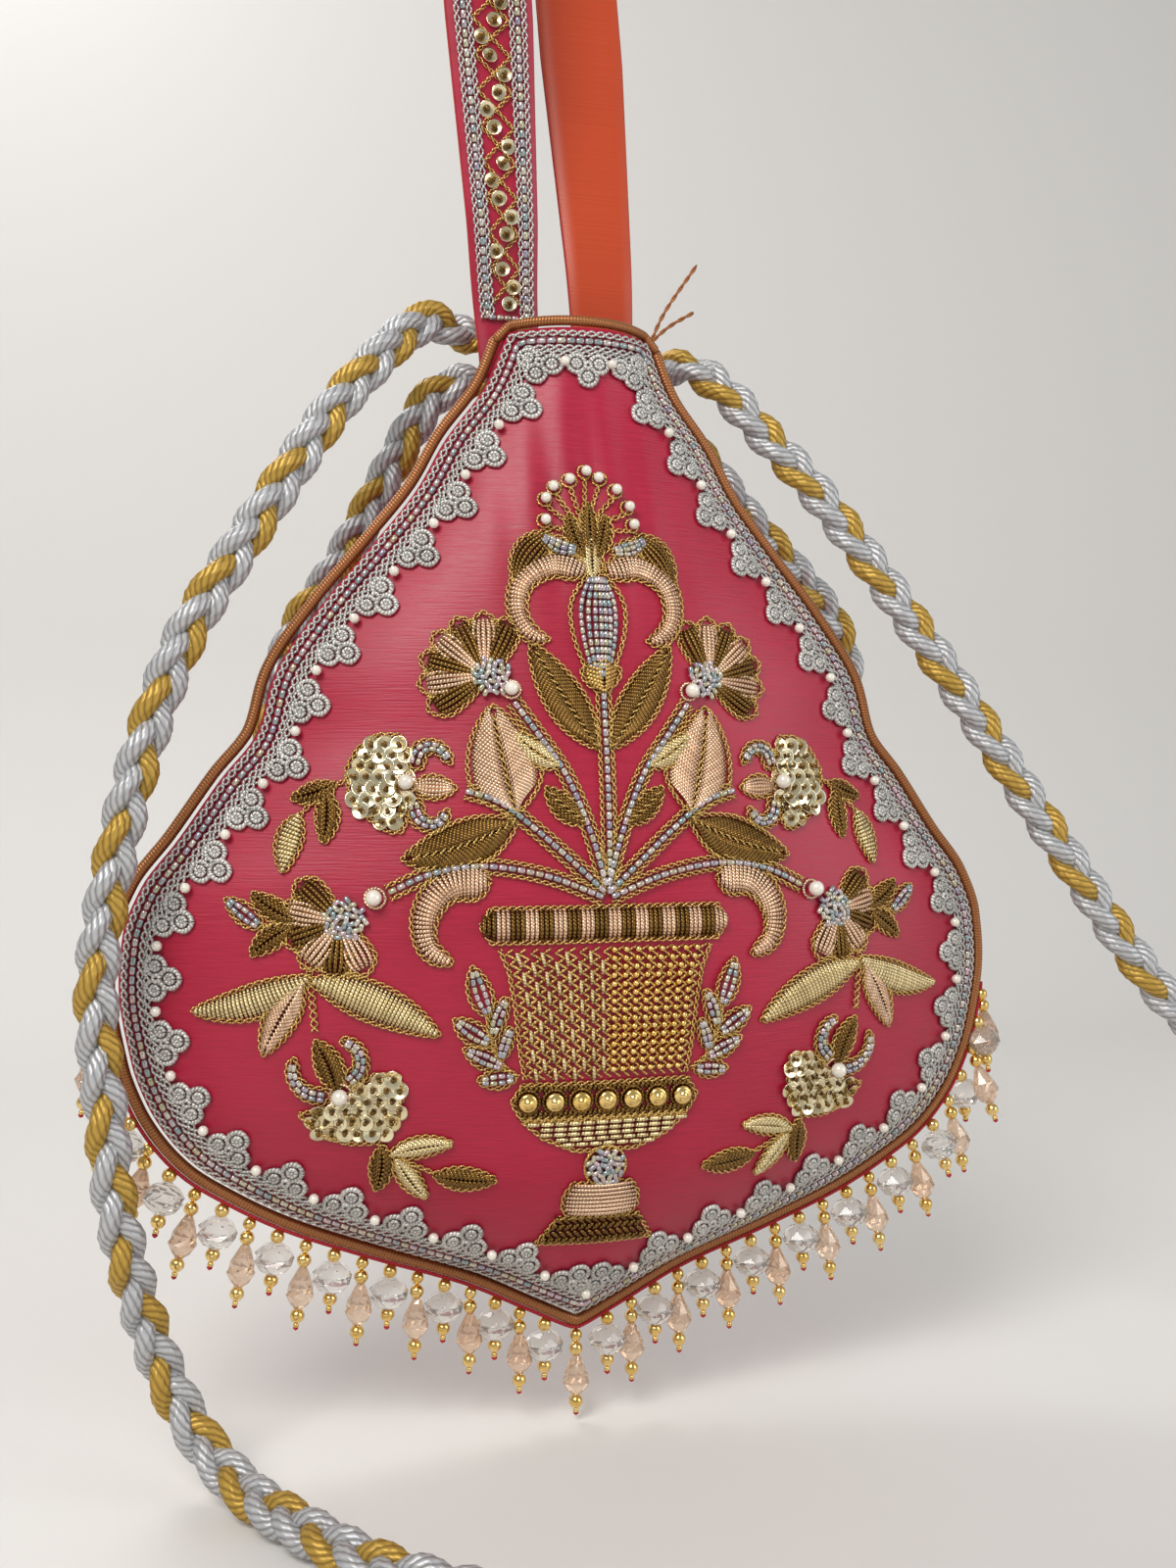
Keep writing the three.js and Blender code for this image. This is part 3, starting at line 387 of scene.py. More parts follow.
# %% Shape of the panels
def through(xs, ys):
    """Cubic pieces through knots. A knot's slope is the harmonic mean of its neighbours' slopes,
    or 0 where they differ in sign, so the curve doesn't overshoot."""
    xs, ys = np.array(xs, float), np.array(ys, float)
    d = np.diff(ys) / np.diff(xs)
    both = d[1:] * d[:-1]
    inner = np.where(both > 0, 2 * both / np.where(both > 0, d[1:] + d[:-1], 1), 0)
    m = np.concatenate([d[:1], inner, d[-1:]])

    def curve(x):
        t = np.clip(x, xs[0], xs[-1])
        i = np.clip(np.searchsorted(xs, t, side="right") - 1, 0, len(xs) - 2)
        h = xs[i + 1] - xs[i]
        s = (t - xs[i]) / h
        level = ys[i] * (1 + 2 * s) * (1 - s) ** 2 + ys[i + 1] * s * s * (3 - 2 * s)
        return level + h * (m[i] * s * (1 - s) ** 2 - m[i + 1] * s * s * (1 - s))
    return curve


half_share = through(
    [0, 0.055, 0.11, 0.16, 0.22, 0.28, 0.35, 0.405, 0.45, 0.51, 0.555, 0.6, 0.645, 0.72, 0.76, 0.79,
     0.822, 0.851, 0.878, 0.91, 0.947, 0.975, 1],
    [0.162, 0.212, 0.3, 0.362, 0.466, 0.575, 0.677, 0.712, 0.788, 0.88, 0.955, 0.992, 1, 0.975,
     0.944, 0.906, 0.844, 0.75, 0.64, 0.462, 0.235, 0.11, 0])
swell = through([0, 0.2, 0.45, 0.65, 0.8, 0.92, 1], [0, 0.62, 0.9, 1, 0.9, 0.52, 0])


def half(t):
    """Half of the width at a share t of the depth."""
    return BELLY_HALF * half_share(t)


def depth(x, z, mouth):
    """Swell times (1 - |x / half width| ** roundness), with a lip that stands out at the mouth.
    The roundness is 2.3, and falls to 1.6 over the lowest part."""
    t = np.clip(-z / BAG_HEIGHT, 0, 1)
    u = np.minimum(np.abs(x) / np.maximum(half(t), 0.4), 1)
    lip = mouth * np.maximum(0, 1 - t / 0.2) ** 2
    roundness = 2.3 - 0.7 * np.clip((t - 0.7) / 0.3, 0, 1)
    return (BULGE * swell(t) + lip) * (1 - u ** roundness)


def ripple(x, z):
    """Soft upright puckers below the mouth, and a slow unevenness all over, fading at the edge."""
    t = np.clip(-z / BAG_HEIGHT, 0, 1)
    inside = np.clip(1 - (np.abs(x) / np.maximum(half(t), 0.4)) ** 4, 0, 1)
    puckers = 0.55 * np.sin(0.62 * x + 0.03 * z) * np.exp(-(((z + 46) / 30) ** 2) - (x / 24) ** 2)
    slow = 0.3 * np.sin(0.07 * x + 1.1) * np.sin(0.06 * z + 0.4)
    slant = 0.16 * np.sin(0.19 * x - 0.12 * z)
    return inside * (puckers + (slow + slant))


def front_y(x, z):
    """The outer face of the front panel."""
    return -(depth(x, z, MOUTH_FRONT) + SEAM + CLOTH + ripple(x, z))


def front_normal(x, z):
    """Outward direction on the front panel, from small differences."""
    e = 0.5
    dx = (front_y(x + e, z) - front_y(x - e, z)) / (2 * e)
    dz = (front_y(x, z + e) - front_y(x, z - e)) / (2 * e)
    return unit(np.stack([dx, -np.ones_like(dx), dz], -1))


def on_front(x, z, h):
    """Points a height h above the front panel."""
    x, z, h = np.broadcast_arrays(np.asarray(x, float), np.asarray(z, float), np.asarray(h, float))
    return np.stack([x, front_y(x, z), z], -1) + front_normal(x, z) * h[..., None]


print("half width at the belly:", round(float(half(0.645)), 1))

# %% [markdown]
# Nearly everything on this bag is a line of thread or a turned bead. Blender's curves with a
# bevel would make such lines, one spline at a time. Here one kind of mesh serves them all:
# rings of points round a centre line, joined by quads and closed at both ends. A whole batch of
# lines is one array, which is quick, and a piece is one mesh made of several batches.

# %% Sleeves and the piece builder
def rings_round(centre, along, out, radius, sides=6, flat=1.0, roll=0.0):
    """Ring points = centre + radius * (cos a * side + flat * sin a * raised), where side and
    raised stand square to the line, and raised is as near as it can be to the outward way."""
    side = unit(np.cross(out, along))
    raised = np.cross(unit(along), side)
    a = 2 * np.pi * (np.arange(sides) + 0.5) / sides + np.asarray(roll, float)[..., None]
    radius = np.broadcast_to(np.asarray(radius, float), centre.shape[:-1])[..., None, None]
    ca, sa = np.cos(a)[..., None], np.sin(a)[..., None]
    offset = ca * side[..., None, :] + flat * sa * raised[..., None, :]
    return centre[..., None, :] + radius * offset


def sleeve(rings, tint=None):
    """A batch of closed sleeves from rings of shape (lines, stations, sides, 3)."""
    centre = rings.mean(axis=2)
    step = np.linalg.norm(np.diff(centre, axis=1), axis=-1)
    run = np.concatenate([np.zeros((len(rings), 1)), np.cumsum(step, axis=1)], axis=1)
    tint = chance.random(len(rings)) if tint is None else np.broadcast_to(tint, (len(rings),))
    return {"rings": rings, "run": run, "tint": np.array(tint, float)}


def faces_of(batch, start):
    """Quads and end caps of a batch, with the UV of each corner: run along and share around."""
    n, k, s, _ = batch["rings"].shape
    line, station, side = np.meshgrid(np.arange(n), np.arange(k - 1), np.arange(s), indexing="ij")
    a = start + (line * k + station) * s + side
    b = start + (line * k + station) * s + (side + 1) % s
    quads = np.stack([a, b, b + s, a + s], -1).reshape(-1, 4)
    run = batch["run"]
    near, far = run[line, station], run[line, station + 1]
    u = np.stack([near, near, far, far], -1)
    v = np.stack([side, side + 1, side + 1, side], -1) / s
    uv = np.stack([u, v], -1).reshape(-1, 4, 2)
    first = start + np.arange(n)[:, None] * k * s + np.arange(s)[::-1]
    last = start + (np.arange(n)[:, None] * k + k - 1) * s + np.arange(s)
    caps = np.concatenate([first, last])
    return quads, uv, caps


def build(name, layers, stands_for=(), slot=None, smooth=True):
    """One piece from layers of (finish, batches, smooth or not)."""
    verts, corners, uvs, starts, finish, soft, tints = [], [], [], [], [], [], []
    count = loops = 0
    for index, layer in enumerate(layers):
        rounded = layer[2] if len(layer) > 2 else smooth
        for batch in layer[1]:
            quads, uv, caps = faces_of(batch, count)
            points = batch["rings"].reshape(-1, 3)
            verts.append(points)
            stations, sides = batch["rings"].shape[1:3]
            tints.append(np.repeat(batch["tint"], stations * sides))
            count += len(points)
            for faces, coords in ((quads, uv), (caps, np.zeros((*caps.shape, 2)))):
                corners.append(faces.reshape(-1))
                uvs.append(coords.reshape(-1, 2))
                starts.append(loops + np.arange(len(faces)) * faces.shape[1])
                finish.append(np.full(len(faces), index))
                soft.append(np.full(len(faces), rounded and faces is quads))
                loops += faces.size
    mesh = bpy.data.meshes.new(name)
    mesh.vertices.add(count)
    mesh.vertices.foreach_set("co", placed(np.concatenate(verts)).astype(np.float32).reshape(-1))
    mesh.loops.add(loops)
    mesh.loops.foreach_set("vertex_index", np.concatenate(corners).astype(np.int32))
    starts = np.concatenate(starts)
    mesh.polygons.add(len(starts))
    mesh.polygons.foreach_set("loop_start", starts.astype(np.int32))
    mesh.polygons.foreach_set("material_index", np.concatenate(finish).astype(np.int32))
    mesh.polygons.foreach_set("use_smooth", np.concatenate(soft))
    mesh.uv_layers.new(name="UVMap").uv.foreach_set(
        "vector", np.concatenate(uvs).astype(np.float32).reshape(-1))
    mesh.attributes.new("tint", "FLOAT", "POINT").data.foreach_set(
        "value", np.concatenate(tints).astype(np.float32))
    mesh.update(calc_edges=True)
    return finished(name, mesh, [layer[0] for layer in layers], stands_for, slot)


def finished(name, mesh, finishes, stands_for, slot):
    """Puts a mesh in the scene as a piece that rides with the bag and stands for CAD nodes."""
    piece = bpy.data.objects.new(name, mesh)
    bpy.context.scene.collection.objects.link(piece)
    for finish in finishes:
        mesh.materials.append(finish)
    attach(piece, "root")
    if stands_for:
        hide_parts(*stands_for)
    print(f"{name}: {len(mesh.polygons)} faces")
    return piece


# %% [markdown]
# The silk panels are sewn together round the edge and are pulled smooth by what is inside, so
# they count as stretched cloth. Each is a single sheet that follows the panel's formula on a
# grid, closer together at the edges, where it turns most. Its thickness comes from a Solidify
# modifier, which is simpler than a second grid and keeps the wall even.

# %% Silk panels
def panel_grid(side, mouth, rows=120, columns=60):
    """x = share across * half width; y = side * (depth + seam + cloth + ripple); z runs down."""
    t = np.linspace(0, 1, rows) ** 0.9
    u = np.sin(np.pi / 2 * np.linspace(-1, 1, columns))
    t, u = np.meshgrid(t, u, indexing="ij")
    x, z = u * half(t), -t * BAG_HEIGHT
    y = front_y(x, z) if side < 0 else depth(x, z, mouth) + SEAM + CLOTH + ripple(-x, z)
    return np.stack([x, y, z], -1)


def sheet_piece(name, grid, uv, finish, thickness, stands_for, slot, turned=False):
    """A grid of points becomes a sheet, thickened inwards."""
    k, s, _ = grid.shape
    i, j = np.meshgrid(np.arange(k - 1), np.arange(s - 1), indexing="ij")
    a = i * s + j
    quads = np.stack([a, a + s, a + s + 1, a + 1], -1).reshape(-1, 4)
    quads = quads[:, ::-1] if turned else quads
    mesh = bpy.data.meshes.new(name)
    mesh.from_pydata(placed(grid.reshape(-1, 3)).tolist(), [], quads.tolist())
    mesh.polygons.foreach_set("use_smooth", np.ones(len(quads), bool))
    mesh.uv_layers.new(name="UVMap").uv.foreach_set(
        "vector", uv.reshape(-1, 2)[quads.reshape(-1)].astype(np.float32).reshape(-1))
    mesh.update()
    piece = finished(name, mesh, [finish], stands_for, slot)
    wall = piece.modifiers.new("wall", "SOLIDIFY")
    wall.thickness, wall.offset = thickness / 1000, -1
    return piece


front_grid = panel_grid(-1, MOUTH_FRONT)
back_grid = panel_grid(1, MOUTH_BACK)
PLAN_AREA = float(np.mean(2 * half(np.linspace(0, 1, 400)))) * BAG_HEIGHT / 1e6
front_silk = sheet_piece("front_silk", front_grid, front_grid[..., [0, 2]], silk, CLOTH,
                         ["front_panel"], "silk")
back_silk = sheet_piece("back_silk", back_grid, back_grid[..., [0, 2]], silk, CLOTH,
                        ["back_panel"], "silk", turned=True)

# %% [markdown]
# The lining is orange satin, and only its rim shows, in the mouth. On a real bag it is two
# pieces with a seam. It is made as one closed sack just inside both panels, because a single
# loop of points at each depth leaves no gap where the two sides meet.

# %% Lining
SACK_AROUND = 48


def lining_grid(rows=40):
    """The panels' section moved inwards, as one closed loop of points at each depth."""
    t = np.linspace(0.004, 0.93, rows)[:, None]
    a = np.linspace(0, 2 * np.pi, SACK_AROUND)[None, :]
    x = np.cos(a) * (half(t) - 3)
    z = -t * BAG_HEIGHT + 0 * a
    front = -(depth(x, z, MOUTH_FRONT) + SEAM - 0.6)
    back = depth(x, z, MOUTH_BACK) + SEAM - 0.6
    y = np.where(np.sin(a) < 0, np.minimum(front, -0.1), np.maximum(back, 0.1))
    return np.stack([x, y, z], -1)


sack = lining_grid()
round_the_sack = np.linspace(0, 300, SACK_AROUND)[None, :]
sack_uv = np.stack(np.broadcast_arrays(round_the_sack, sack[..., 2]), -1)
lining = sheet_piece("satin_lining", sack, sack_uv, satin, 0.8, ["lining"], "satin", turned=True)

# %% [markdown]
# A cord covered in copper satin is sewn into the seam and along both edges of the mouth. The
# same outline, a line in the seam's plane, also serves the lace and the fringe. It could be
# scaled up or down for each, but the gap would then be uneven. So it is sampled finely, moved in
# or out along its own normals, and shared out evenly by length.

# %% Outline
def run_along(line):
    """The distance from the start of a polyline to each of its points."""
    return np.concatenate([[0], np.cumsum(np.linalg.norm(np.diff(line, axis=0), axis=1))])


def resampled(line, count=None, step=None):
    """Points at even distances along a polyline."""
    run = run_along(line)
    count = count or max(int(round(run[-1] / step)) + 1, 3)
    s = np.linspace(0, run[-1], count)
    return np.stack([np.interp(s, run, line[:, i]) for i in range(line.shape[1])], -1)


EDGE_POINTS = 1601
EDGE_EASE = 22


def edge_line(out):
    """The outline from the left mouth corner round to the right one, its heading, and the line
    moved outwards. A heading is taken over 22 points each way, which rounds sharp turns."""
    v = np.linspace(-1, 1, EDGE_POINTS)
    t = 1 - np.abs(v) ** 1.35
    p = np.stack([np.sign(v) * half(t), -t * BAG_HEIGHT], -1)
    i = np.arange(EDGE_POINTS)
    along = unit(p[np.minimum(i + EDGE_EASE, EDGE_POINTS - 1)] - p[np.maximum(i - EDGE_EASE, 0)])
    return p, along, p + out * np.stack([along[:, 1], -along[:, 0]], -1)


def in_seam_plane(line):
    """Points of the plan, (x, z), become points in space, (x, 0, z)."""
    return np.stack([line[:, 0], np.zeros(len(line)), line[:, 1]], -1)


EDGE_RUN = run_along(edge_line(0)[0])


def tube(points, radius, sides=8, tint=0.5, out=(0, -1, 0)):
    """One round cord along points in space, with its ends drawn in a little."""
    along = np.gradient(points, axis=0)
    out = np.broadcast_to(np.array(out, float), points.shape)
    radius = np.broadcast_to(np.asarray(radius, float), (len(points),)).copy()
    radius[[0, -1]] *= 0.6
    return sleeve(rings_round(points[None], along[None], out[None], radius[None], sides), tint)


def pipe_line():
    """The seam's own cord, outside the panels' edges."""
    _, _, moved = edge_line(PIPE_OUT)
    return in_seam_plane(resampled(moved[4:-4], step=1.2))


def mouth_rim(side, mouth, count=41):
    """The cord along a mouth edge: an arc that stands out as the panel does, down to the seam."""
    x = np.sin(np.linspace(-1, 1, count) * 1.35) / np.sin(1.35) * 0.97 * half(0)
    y = side * (depth(x, 0 * x, mouth) + SEAM + CLOTH - 0.6)
    arc = np.stack([x, y, np.full(count, PIPING + 0.35)], -1)
    seam = pipe_line()[[1, -2]] + [0, side * 0.9, 0]
    return resampled(np.concatenate([seam[:1], arc, seam[1:]]), step=0.8)


build("seam_piping", [(wrap, [tube(pipe_line(), PIPING, 10)])], ["side_piping"], "piping")
RIM_PIPING = PIPING * 0.85
build("front_rim_piping", [(wrap, [tube(mouth_rim(-1, MOUTH_FRONT), RIM_PIPING, 10)])],
      ["front_mouth_piping"], "piping")
build("back_rim_piping", [(wrap, [tube(mouth_rim(1, MOUTH_BACK), RIM_PIPING, 10)])],
      ["back_mouth_piping"], "piping")

# %% [markdown]
# The cord is a flat plait of three strands, two grey and one antique gold, and each strand is
# seven yarns laid side by side with a twist. A pattern painted on a plain tube would look flat
# at its edges, so the strands are real shapes. A strand swings from side to side as a sine and
# forward and back as a sine of twice the rate, which is how a three-strand plait crosses. Its
# section is a circle with seven lobes that turns as it goes, so the yarns show.

# %% Braided cord
CORD_Y = 16.0
LIE = TABLE + 4.9
SLING = [
    [-18.85, CORD_Y, 3], [-23, CORD_Y, 3.1], [-29, 15, 4.6], [-34.5, 11.5, 5.4], [-41, 7, 0.5],
    [-47.4, 2, -6.3], [-59.4, -4, -21.2], [-78.1, -11, -50.6], [-93.5, -15, -76.7],
    [-102.5, -17, -101.5], [-110, -18.5, -134], [-112.4, -19, -155], [-111, -20, -175],
    [-107.8, -20, -205], [-101.5, -14, -232], [-96.4, -13.5, -246], [-89.5, -17.5, -257],
    [-82, -28, LIE + 0.7], [-73.6, -42.5, LIE], [-57.7, -66, LIE], [-34, -86, LIE],
    [6, -100.5, LIE], [50, -112, LIE], [94, -119, LIE], [136, -118, LIE], [172, -110, LIE],
    [199, -96, LIE + 2], [215, -79, -252], [217, -64, -236], [208, -53, -219],
    [192, -44.5, -201.5], [172, -36, -184.5], [151.4, -28, -167.5], [119.9, -19, -121.2],
    [93.7, -12, -79.8], [64.4, -3, -37], [50.5, 1.5, -20.5], [39.2, 6, -7.3], [31.8, 11, -1.8],
    [26, 14.4, -2.6], [23, CORD_Y, -3], [19.35, CORD_Y, -3],
]
SLACK = [
    [-18.85, CORD_Y, -8], [-23, CORD_Y, -8], [-29, 15, -9.8], [-34.4, 14.6, -14],
    [-38.5, 14.5, -21], [-47, 16, -37.6], [-57, 19.5, -56.5], [-66.4, 23.5, -71.2],
    [-72, 28, -95], [-70, 32, -125], [-52, 35.5, -150], [-28, 38, -166], [4, 39, -172],
    [38, 38, -166], [66, 35, -148], [82, 32, -122], [86, 28, -95], [80.2, 22, -69],
    [65.5, 18, -53], [49.4, 14.5, -38.3], [40, 13, -27.8], [31.4, 13.6, -19.6], [26, 15, -15.4],
    [23, CORD_Y, -14.5], [19.35, CORD_Y, -14.5],
]


def smooth_route(points, step):
    """A centripetal Catmull-Rom curve: each span is blended from the four points round it."""
    p = np.array(points, float)
    p = np.concatenate([[2 * p[0] - p[1]], p, [2 * p[-1] - p[-2]]])
    knot = np.concatenate([[0], np.cumsum(np.sqrt(np.linalg.norm(np.diff(p, axis=0), axis=1)))])
    spans = []
    for i in range(1, len(p) - 2):
        t = np.linspace(knot[i], knot[i + 1], 24, endpoint=False)[:, None]
        k0, k1, k2, k3 = knot[i - 1:i + 3]
        a1 = (k1 - t) / (k1 - k0) * p[i - 1] + (t - k0) / (k1 - k0) * p[i]
        a2 = (k2 - t) / (k2 - k1) * p[i] + (t - k1) / (k2 - k1) * p[i + 1]
        a3 = (k3 - t) / (k3 - k2) * p[i + 1] + (t - k2) / (k3 - k2) * p[i + 2]
        b1 = (k2 - t) / (k2 - k0) * a1 + (t - k0) / (k2 - k0) * a2
        b2 = (k3 - t) / (k3 - k1) * a2 + (t - k1) / (k3 - k1) * a3
        spans.append((k2 - t) / (k2 - k1) * b1 + (t - k1) / (k2 - k1) * b2)
    return resampled(np.concatenate([*spans, p[-2:-1]]), step=step)


def carried_frame(line, start):
    """A direction across the line, carried along it without twisting."""
    along = unit(np.gradient(line, axis=0))
    across = np.empty_like(line)
    now = np.array(start, float)
    for i, t in enumerate(along):
        now = now - t * (now @ t)
        now = now / np.linalg.norm(now)
        across[i] = now
    return along, across


PLAIT, YARN_TURN = 31.0, 26.0
SWING, CROSS = 2.75, 1.55
STRAND, YARN_LOBE, YARNS = 2.05, 0.28, 7
STRAND_SIDES = 28


def plait(line, facing):
    """Strand centre = line + swing * sin(a) across + cross * sin(2a) out, where a = 2 pi run /
    plait. Its radius = strand + lobe * |cos(yarns / 2 * angle)| ** 0.8."""
    along, out = carried_frame(line, facing)
    across = np.cross(along, out)
    run = run_along(line)
    gather = np.clip(np.minimum(run, run[-1] - run) / 6, 0.25, 1)
    batches = []
    for strand in range(3):
        a = 2 * np.pi * (run / PLAIT + strand / 3)
        swing = (SWING * np.sin(a) * gather)[:, None] * across
        cross = (CROSS * np.sin(2 * a) * gather)[:, None] * out
        centre = line + swing + cross
        heading = np.gradient(centre, axis=0)
        turn = 2 * np.pi * run / YARN_TURN
        rings = rings_round(centre, heading, out, 1.0, STRAND_SIDES, roll=turn)
        b = 2 * np.pi * (np.arange(STRAND_SIDES) + 0.5) / STRAND_SIDES
        lobes = STRAND + YARN_LOBE * np.abs(np.cos(YARNS / 2 * b)) ** 0.8
        fullness = (0.8 + 0.2 * gather)[:, None, None]
        rings = centre[:, None] + (rings - centre[:, None]) * lobes[None, :, None] * fullness
        batches.append(sleeve(rings[None], 0.5))
    return batches


def braided(name, points, node):
    """A plait along a smooth route through the points."""
    line = smooth_route(points, 1.7)
    strands = plait(line, (0, -1, 0.2))
    piece = build(name, [(grey_yarn, strands[:2]), (gold_yarn, strands[2:])], [node], "braid")
    tuple(placed(points[0]))
    placed(line).tolist()
    return piece


braided("braid_sling", SLING, "braid_front")
braided("braid_slack", SLACK, "braid_back")

# %% [markdown]
# Thread work lies on the silk. It could be a picture on the cloth, but each stitch catches the
# light in its own direction, so each is a shape. A line is drawn in plan, as across and down the
# bag, and is then laid over the front panel at a small height. Three stitches are built from
# such lines: a plain run of bullion, a chain of two strands that cross, and a row of beads.

# %% Stitches
def laid(lines, h):
    """Lines in plan, an array of (lines, stations, 2), become centre, heading and outward way."""
    x, z = lines[..., 0], lines[..., 1]
    centre = on_front(x, z, h)
    return centre, np.gradient(centre, axis=1), front_normal(x, z)


def bullion(lines, radius=0.45, h=0.6, sides=5, tint=None, flat=1.0):
    """Coiled wire along each line, thinner at its two ends."""
    lines = np.asarray(lines, float)
    share = np.linspace(0, 1, lines.shape[1])
    taper = 0.6 + 0.4 * np.clip(np.sin(np.pi * np.clip(share * 0.94 + 0.03, 0, 1)) * 2.2, 0, 1)
    return sleeve(rings_round(*laid(lines, h), radius * taper, sides, flat), tint)


def chain(line, width=1.1, h=0.35, pitch=2.3, radius=0.27, sides=4):
    """Two strands at plus and minus width/2 * cos(phase), one over the other as sin(phase)."""
    line = resampled(np.asarray(line, float), step=pitch / 6)
    run = np.arange(len(line)) * pitch / 6
    across = unit(np.gradient(line, axis=0))[:, ::-1] * [1, -1]
    batches = []
    for way in (1, -1):
        phase = np.pi * run / pitch
        path = line + way * across * (width / 2 * np.cos(phase))[:, None]
        height = h + 0.28 * way * np.sin(phase) + radius
        batches.append(sleeve(rings_round(*laid(path[None], height[None]), radius, sides), 0.5))
    return batches


BEAD_STATIONS = np.array([-0.5, -0.36, 0.36, 0.5])
BEAD_GIRTHS = np.array([0.72, 1, 1, 0.72])


def beads_at(middle, way, length=1.6, radius=0.62, h=0.6, sides=6):
    """Beads centred on points of the plan, each along its own direction: four rings, the outer
    two drawn in."""
    lines = middle[:, None, :] + way[:, None, :] * (length * BEAD_STATIONS)[None, :, None]
    size = np.broadcast_to(radius * BEAD_GIRTHS, lines.shape[:2])
    return sleeve(rings_round(*laid(lines, h), size, sides))


def bead_row(line, pitch=1.9, length=1.6, radius=0.62, h=0.6, sides=6):
    """Short round beads, end to end along a line."""
    line = resampled(np.asarray(line, float), step=pitch)
    middle, way = (line[1:] + line[:-1]) / 2, unit(line[1:] - line[:-1])
    return beads_at(middle, way, length, radius, h, sides)


def turned(centres, axes, profile, sides=8, roll=0.0, out=(0.13, 0.3, 1.0), tint=None):
    """Lathe work: for each (rise, radius) a ring at centre + rise * axis."""
    centres, axes = np.asarray(centres, float), unit(np.asarray(axes, float))
    profile = np.array(profile, float)
    axes = np.broadcast_to(axes, centres.shape)
    rings = centres[:, None, :] + axes[:, None, :] * profile[None, :, 0, None]
    along = np.broadcast_to(axes[:, None, :], rings.shape)
    out = np.broadcast_to(np.array(out, float), rings.shape)
    size = np.broadcast_to(profile[:, 1], rings.shape[:2])
    turn = np.broadcast_to(np.asarray(roll, float), rings.shape[:2])
    return sleeve(rings_round(rings, along, out, size, sides, roll=turn), tint)


def ball(radius, rings=7):
    """The profile of a sphere standing on its base."""
    a = np.linspace(0.16, np.pi - 0.16, rings)
    return np.stack([radius - radius * np.cos(a), radius * np.sin(a)], -1)


def on_silk(points, profile, h=0.2, sides=10, tilt=0.0):
    """Turned pieces set on the front panel, standing along its outward direction."""
    points = np.asarray(points, float)
    axes = front_normal(points[:, 0], points[:, 1])
    axes = unit(axes + tilt * chance.normal(size=axes.shape))
    return turned(on_front(points[:, 0], points[:, 1], h), axes, profile, sides)


CUP = [(0.05, 0.3), (0.08, 0.8), (0.34, 2.05), (0.46, 2.1), (0.4, 1.85), (0.2, 0.8), (0.1, 0.3)]
print("stitches ready")

# %% [markdown]
# The lace follows the edge and crosses below the mouth. From the piping inwards it is a silver
# chain, a row of opal bugle beads, two more silver chains, and then trefoils of wrapped silver
# cord with a pearl between each two. A flat strip with holes cut by a mask would do from far
# off, but close to, lace is cord, so each trefoil is made of rings of wire.

# %% Lace border
LACE_CHAINS = (1.7, 5.3, 6.7)
LACE_BEADS, LACE_FILL, LACE_INNER = 3.55, 6.0, 8.96
TREFOIL_PITCH, LOBE_REACH, LOBE_TURN = 14.7, 2.75, 1.75


def lace_ring(inset):
    """The outline moved inwards, closed by a level line the same distance under the mouth."""
    _, _, moved = edge_line(-inset)
    sides = moved[moved[:, 1] < -inset - 0.4]
    reach = abs(sides[0, 0])
    top = np.stack([np.linspace(reach, -reach, 24), np.full(24, -inset)], -1)
    return resampled(np.concatenate([sides, top, sides[:1]]), step=1.0)


def trefoil_places():
    """Trefoils along the inner edge at an even pitch, the way each one faces, and the pearls
    halfway between them."""
    inset = LACE_INNER
    _, along, moved = edge_line(-inset)
    keep = moved[:, 1] < -inset - 3
    moved, inward = moved[keep], np.stack([-along[keep, 1], along[keep, 0]], -1)
    run = run_along(moved)
    count = int(round(run[-1] / TREFOIL_PITCH))
    pick = np.searchsorted(run, (np.arange(count) + 0.5) * run[-1] / count)
    places = np.concatenate([moved[pick], [[-11, -inset], [0, -inset - 0.6], [11, -inset]]])
    facing = np.concatenate([inward[pick], [[-0.35, -1], [0, -1], [0.35, -1]]])
    between = np.searchsorted(run, np.arange(1, count) * run[-1] / count)
    under_mouth = [[-5.5, -inset], [5.5, -inset]]
    pearls = np.concatenate([moved[between] - inward[between] * 0.3, under_mouth])
    return places, unit(facing), pearls


def loops(centres, radius, wire, h, stations=15, sides=5):
    """Closed rings of wire round points of the plan, with a lumpy wrapped thickness."""
    a = np.linspace(0, 2 * np.pi, stations + 1)
    lines = centres[:, None, :] + radius * np.stack([np.cos(a), np.sin(a)], -1)[None]
    size = wire * (1 + 0.16 * np.cos(5 * a))
    return sleeve(rings_round(*laid(lines, h), np.broadcast_to(size, lines.shape[:2]), sides))


places, facing, lace_pearls = trefoil_places()
lobes = []
for turn in (-LOBE_TURN, 0.0, LOBE_TURN):
    c, s = np.cos(turn), np.sin(turn)
    way = np.stack([facing[:, 0] * c - facing[:, 1] * s, facing[:, 0] * s + facing[:, 1] * c], -1)
    lobes.append(places + way * LOBE_REACH)
lobes = np.concatenate(lobes)
lace = [loops(lobes, 2.15, 0.62, 0.75), loops(lobes, 0.95, 0.55, 0.95, 9)]
lace += [loops(places, 0.8, 0.5, 1.3, 8)]
lace += [on_silk(lobes, ball(0.55, 5), h=0.5, sides=6)]
for inset in LACE_CHAINS:
    lace += chain(lace_ring(inset), width=1.15, h=0.5, pitch=2.2, radius=0.34)
fill = lace_ring(LACE_FILL)
lace += [bullion(np.stack([fill[:-1:2], fill[1::2]], 1)[:, [0, 0, 1, 1]], 0.3, 0.3)]
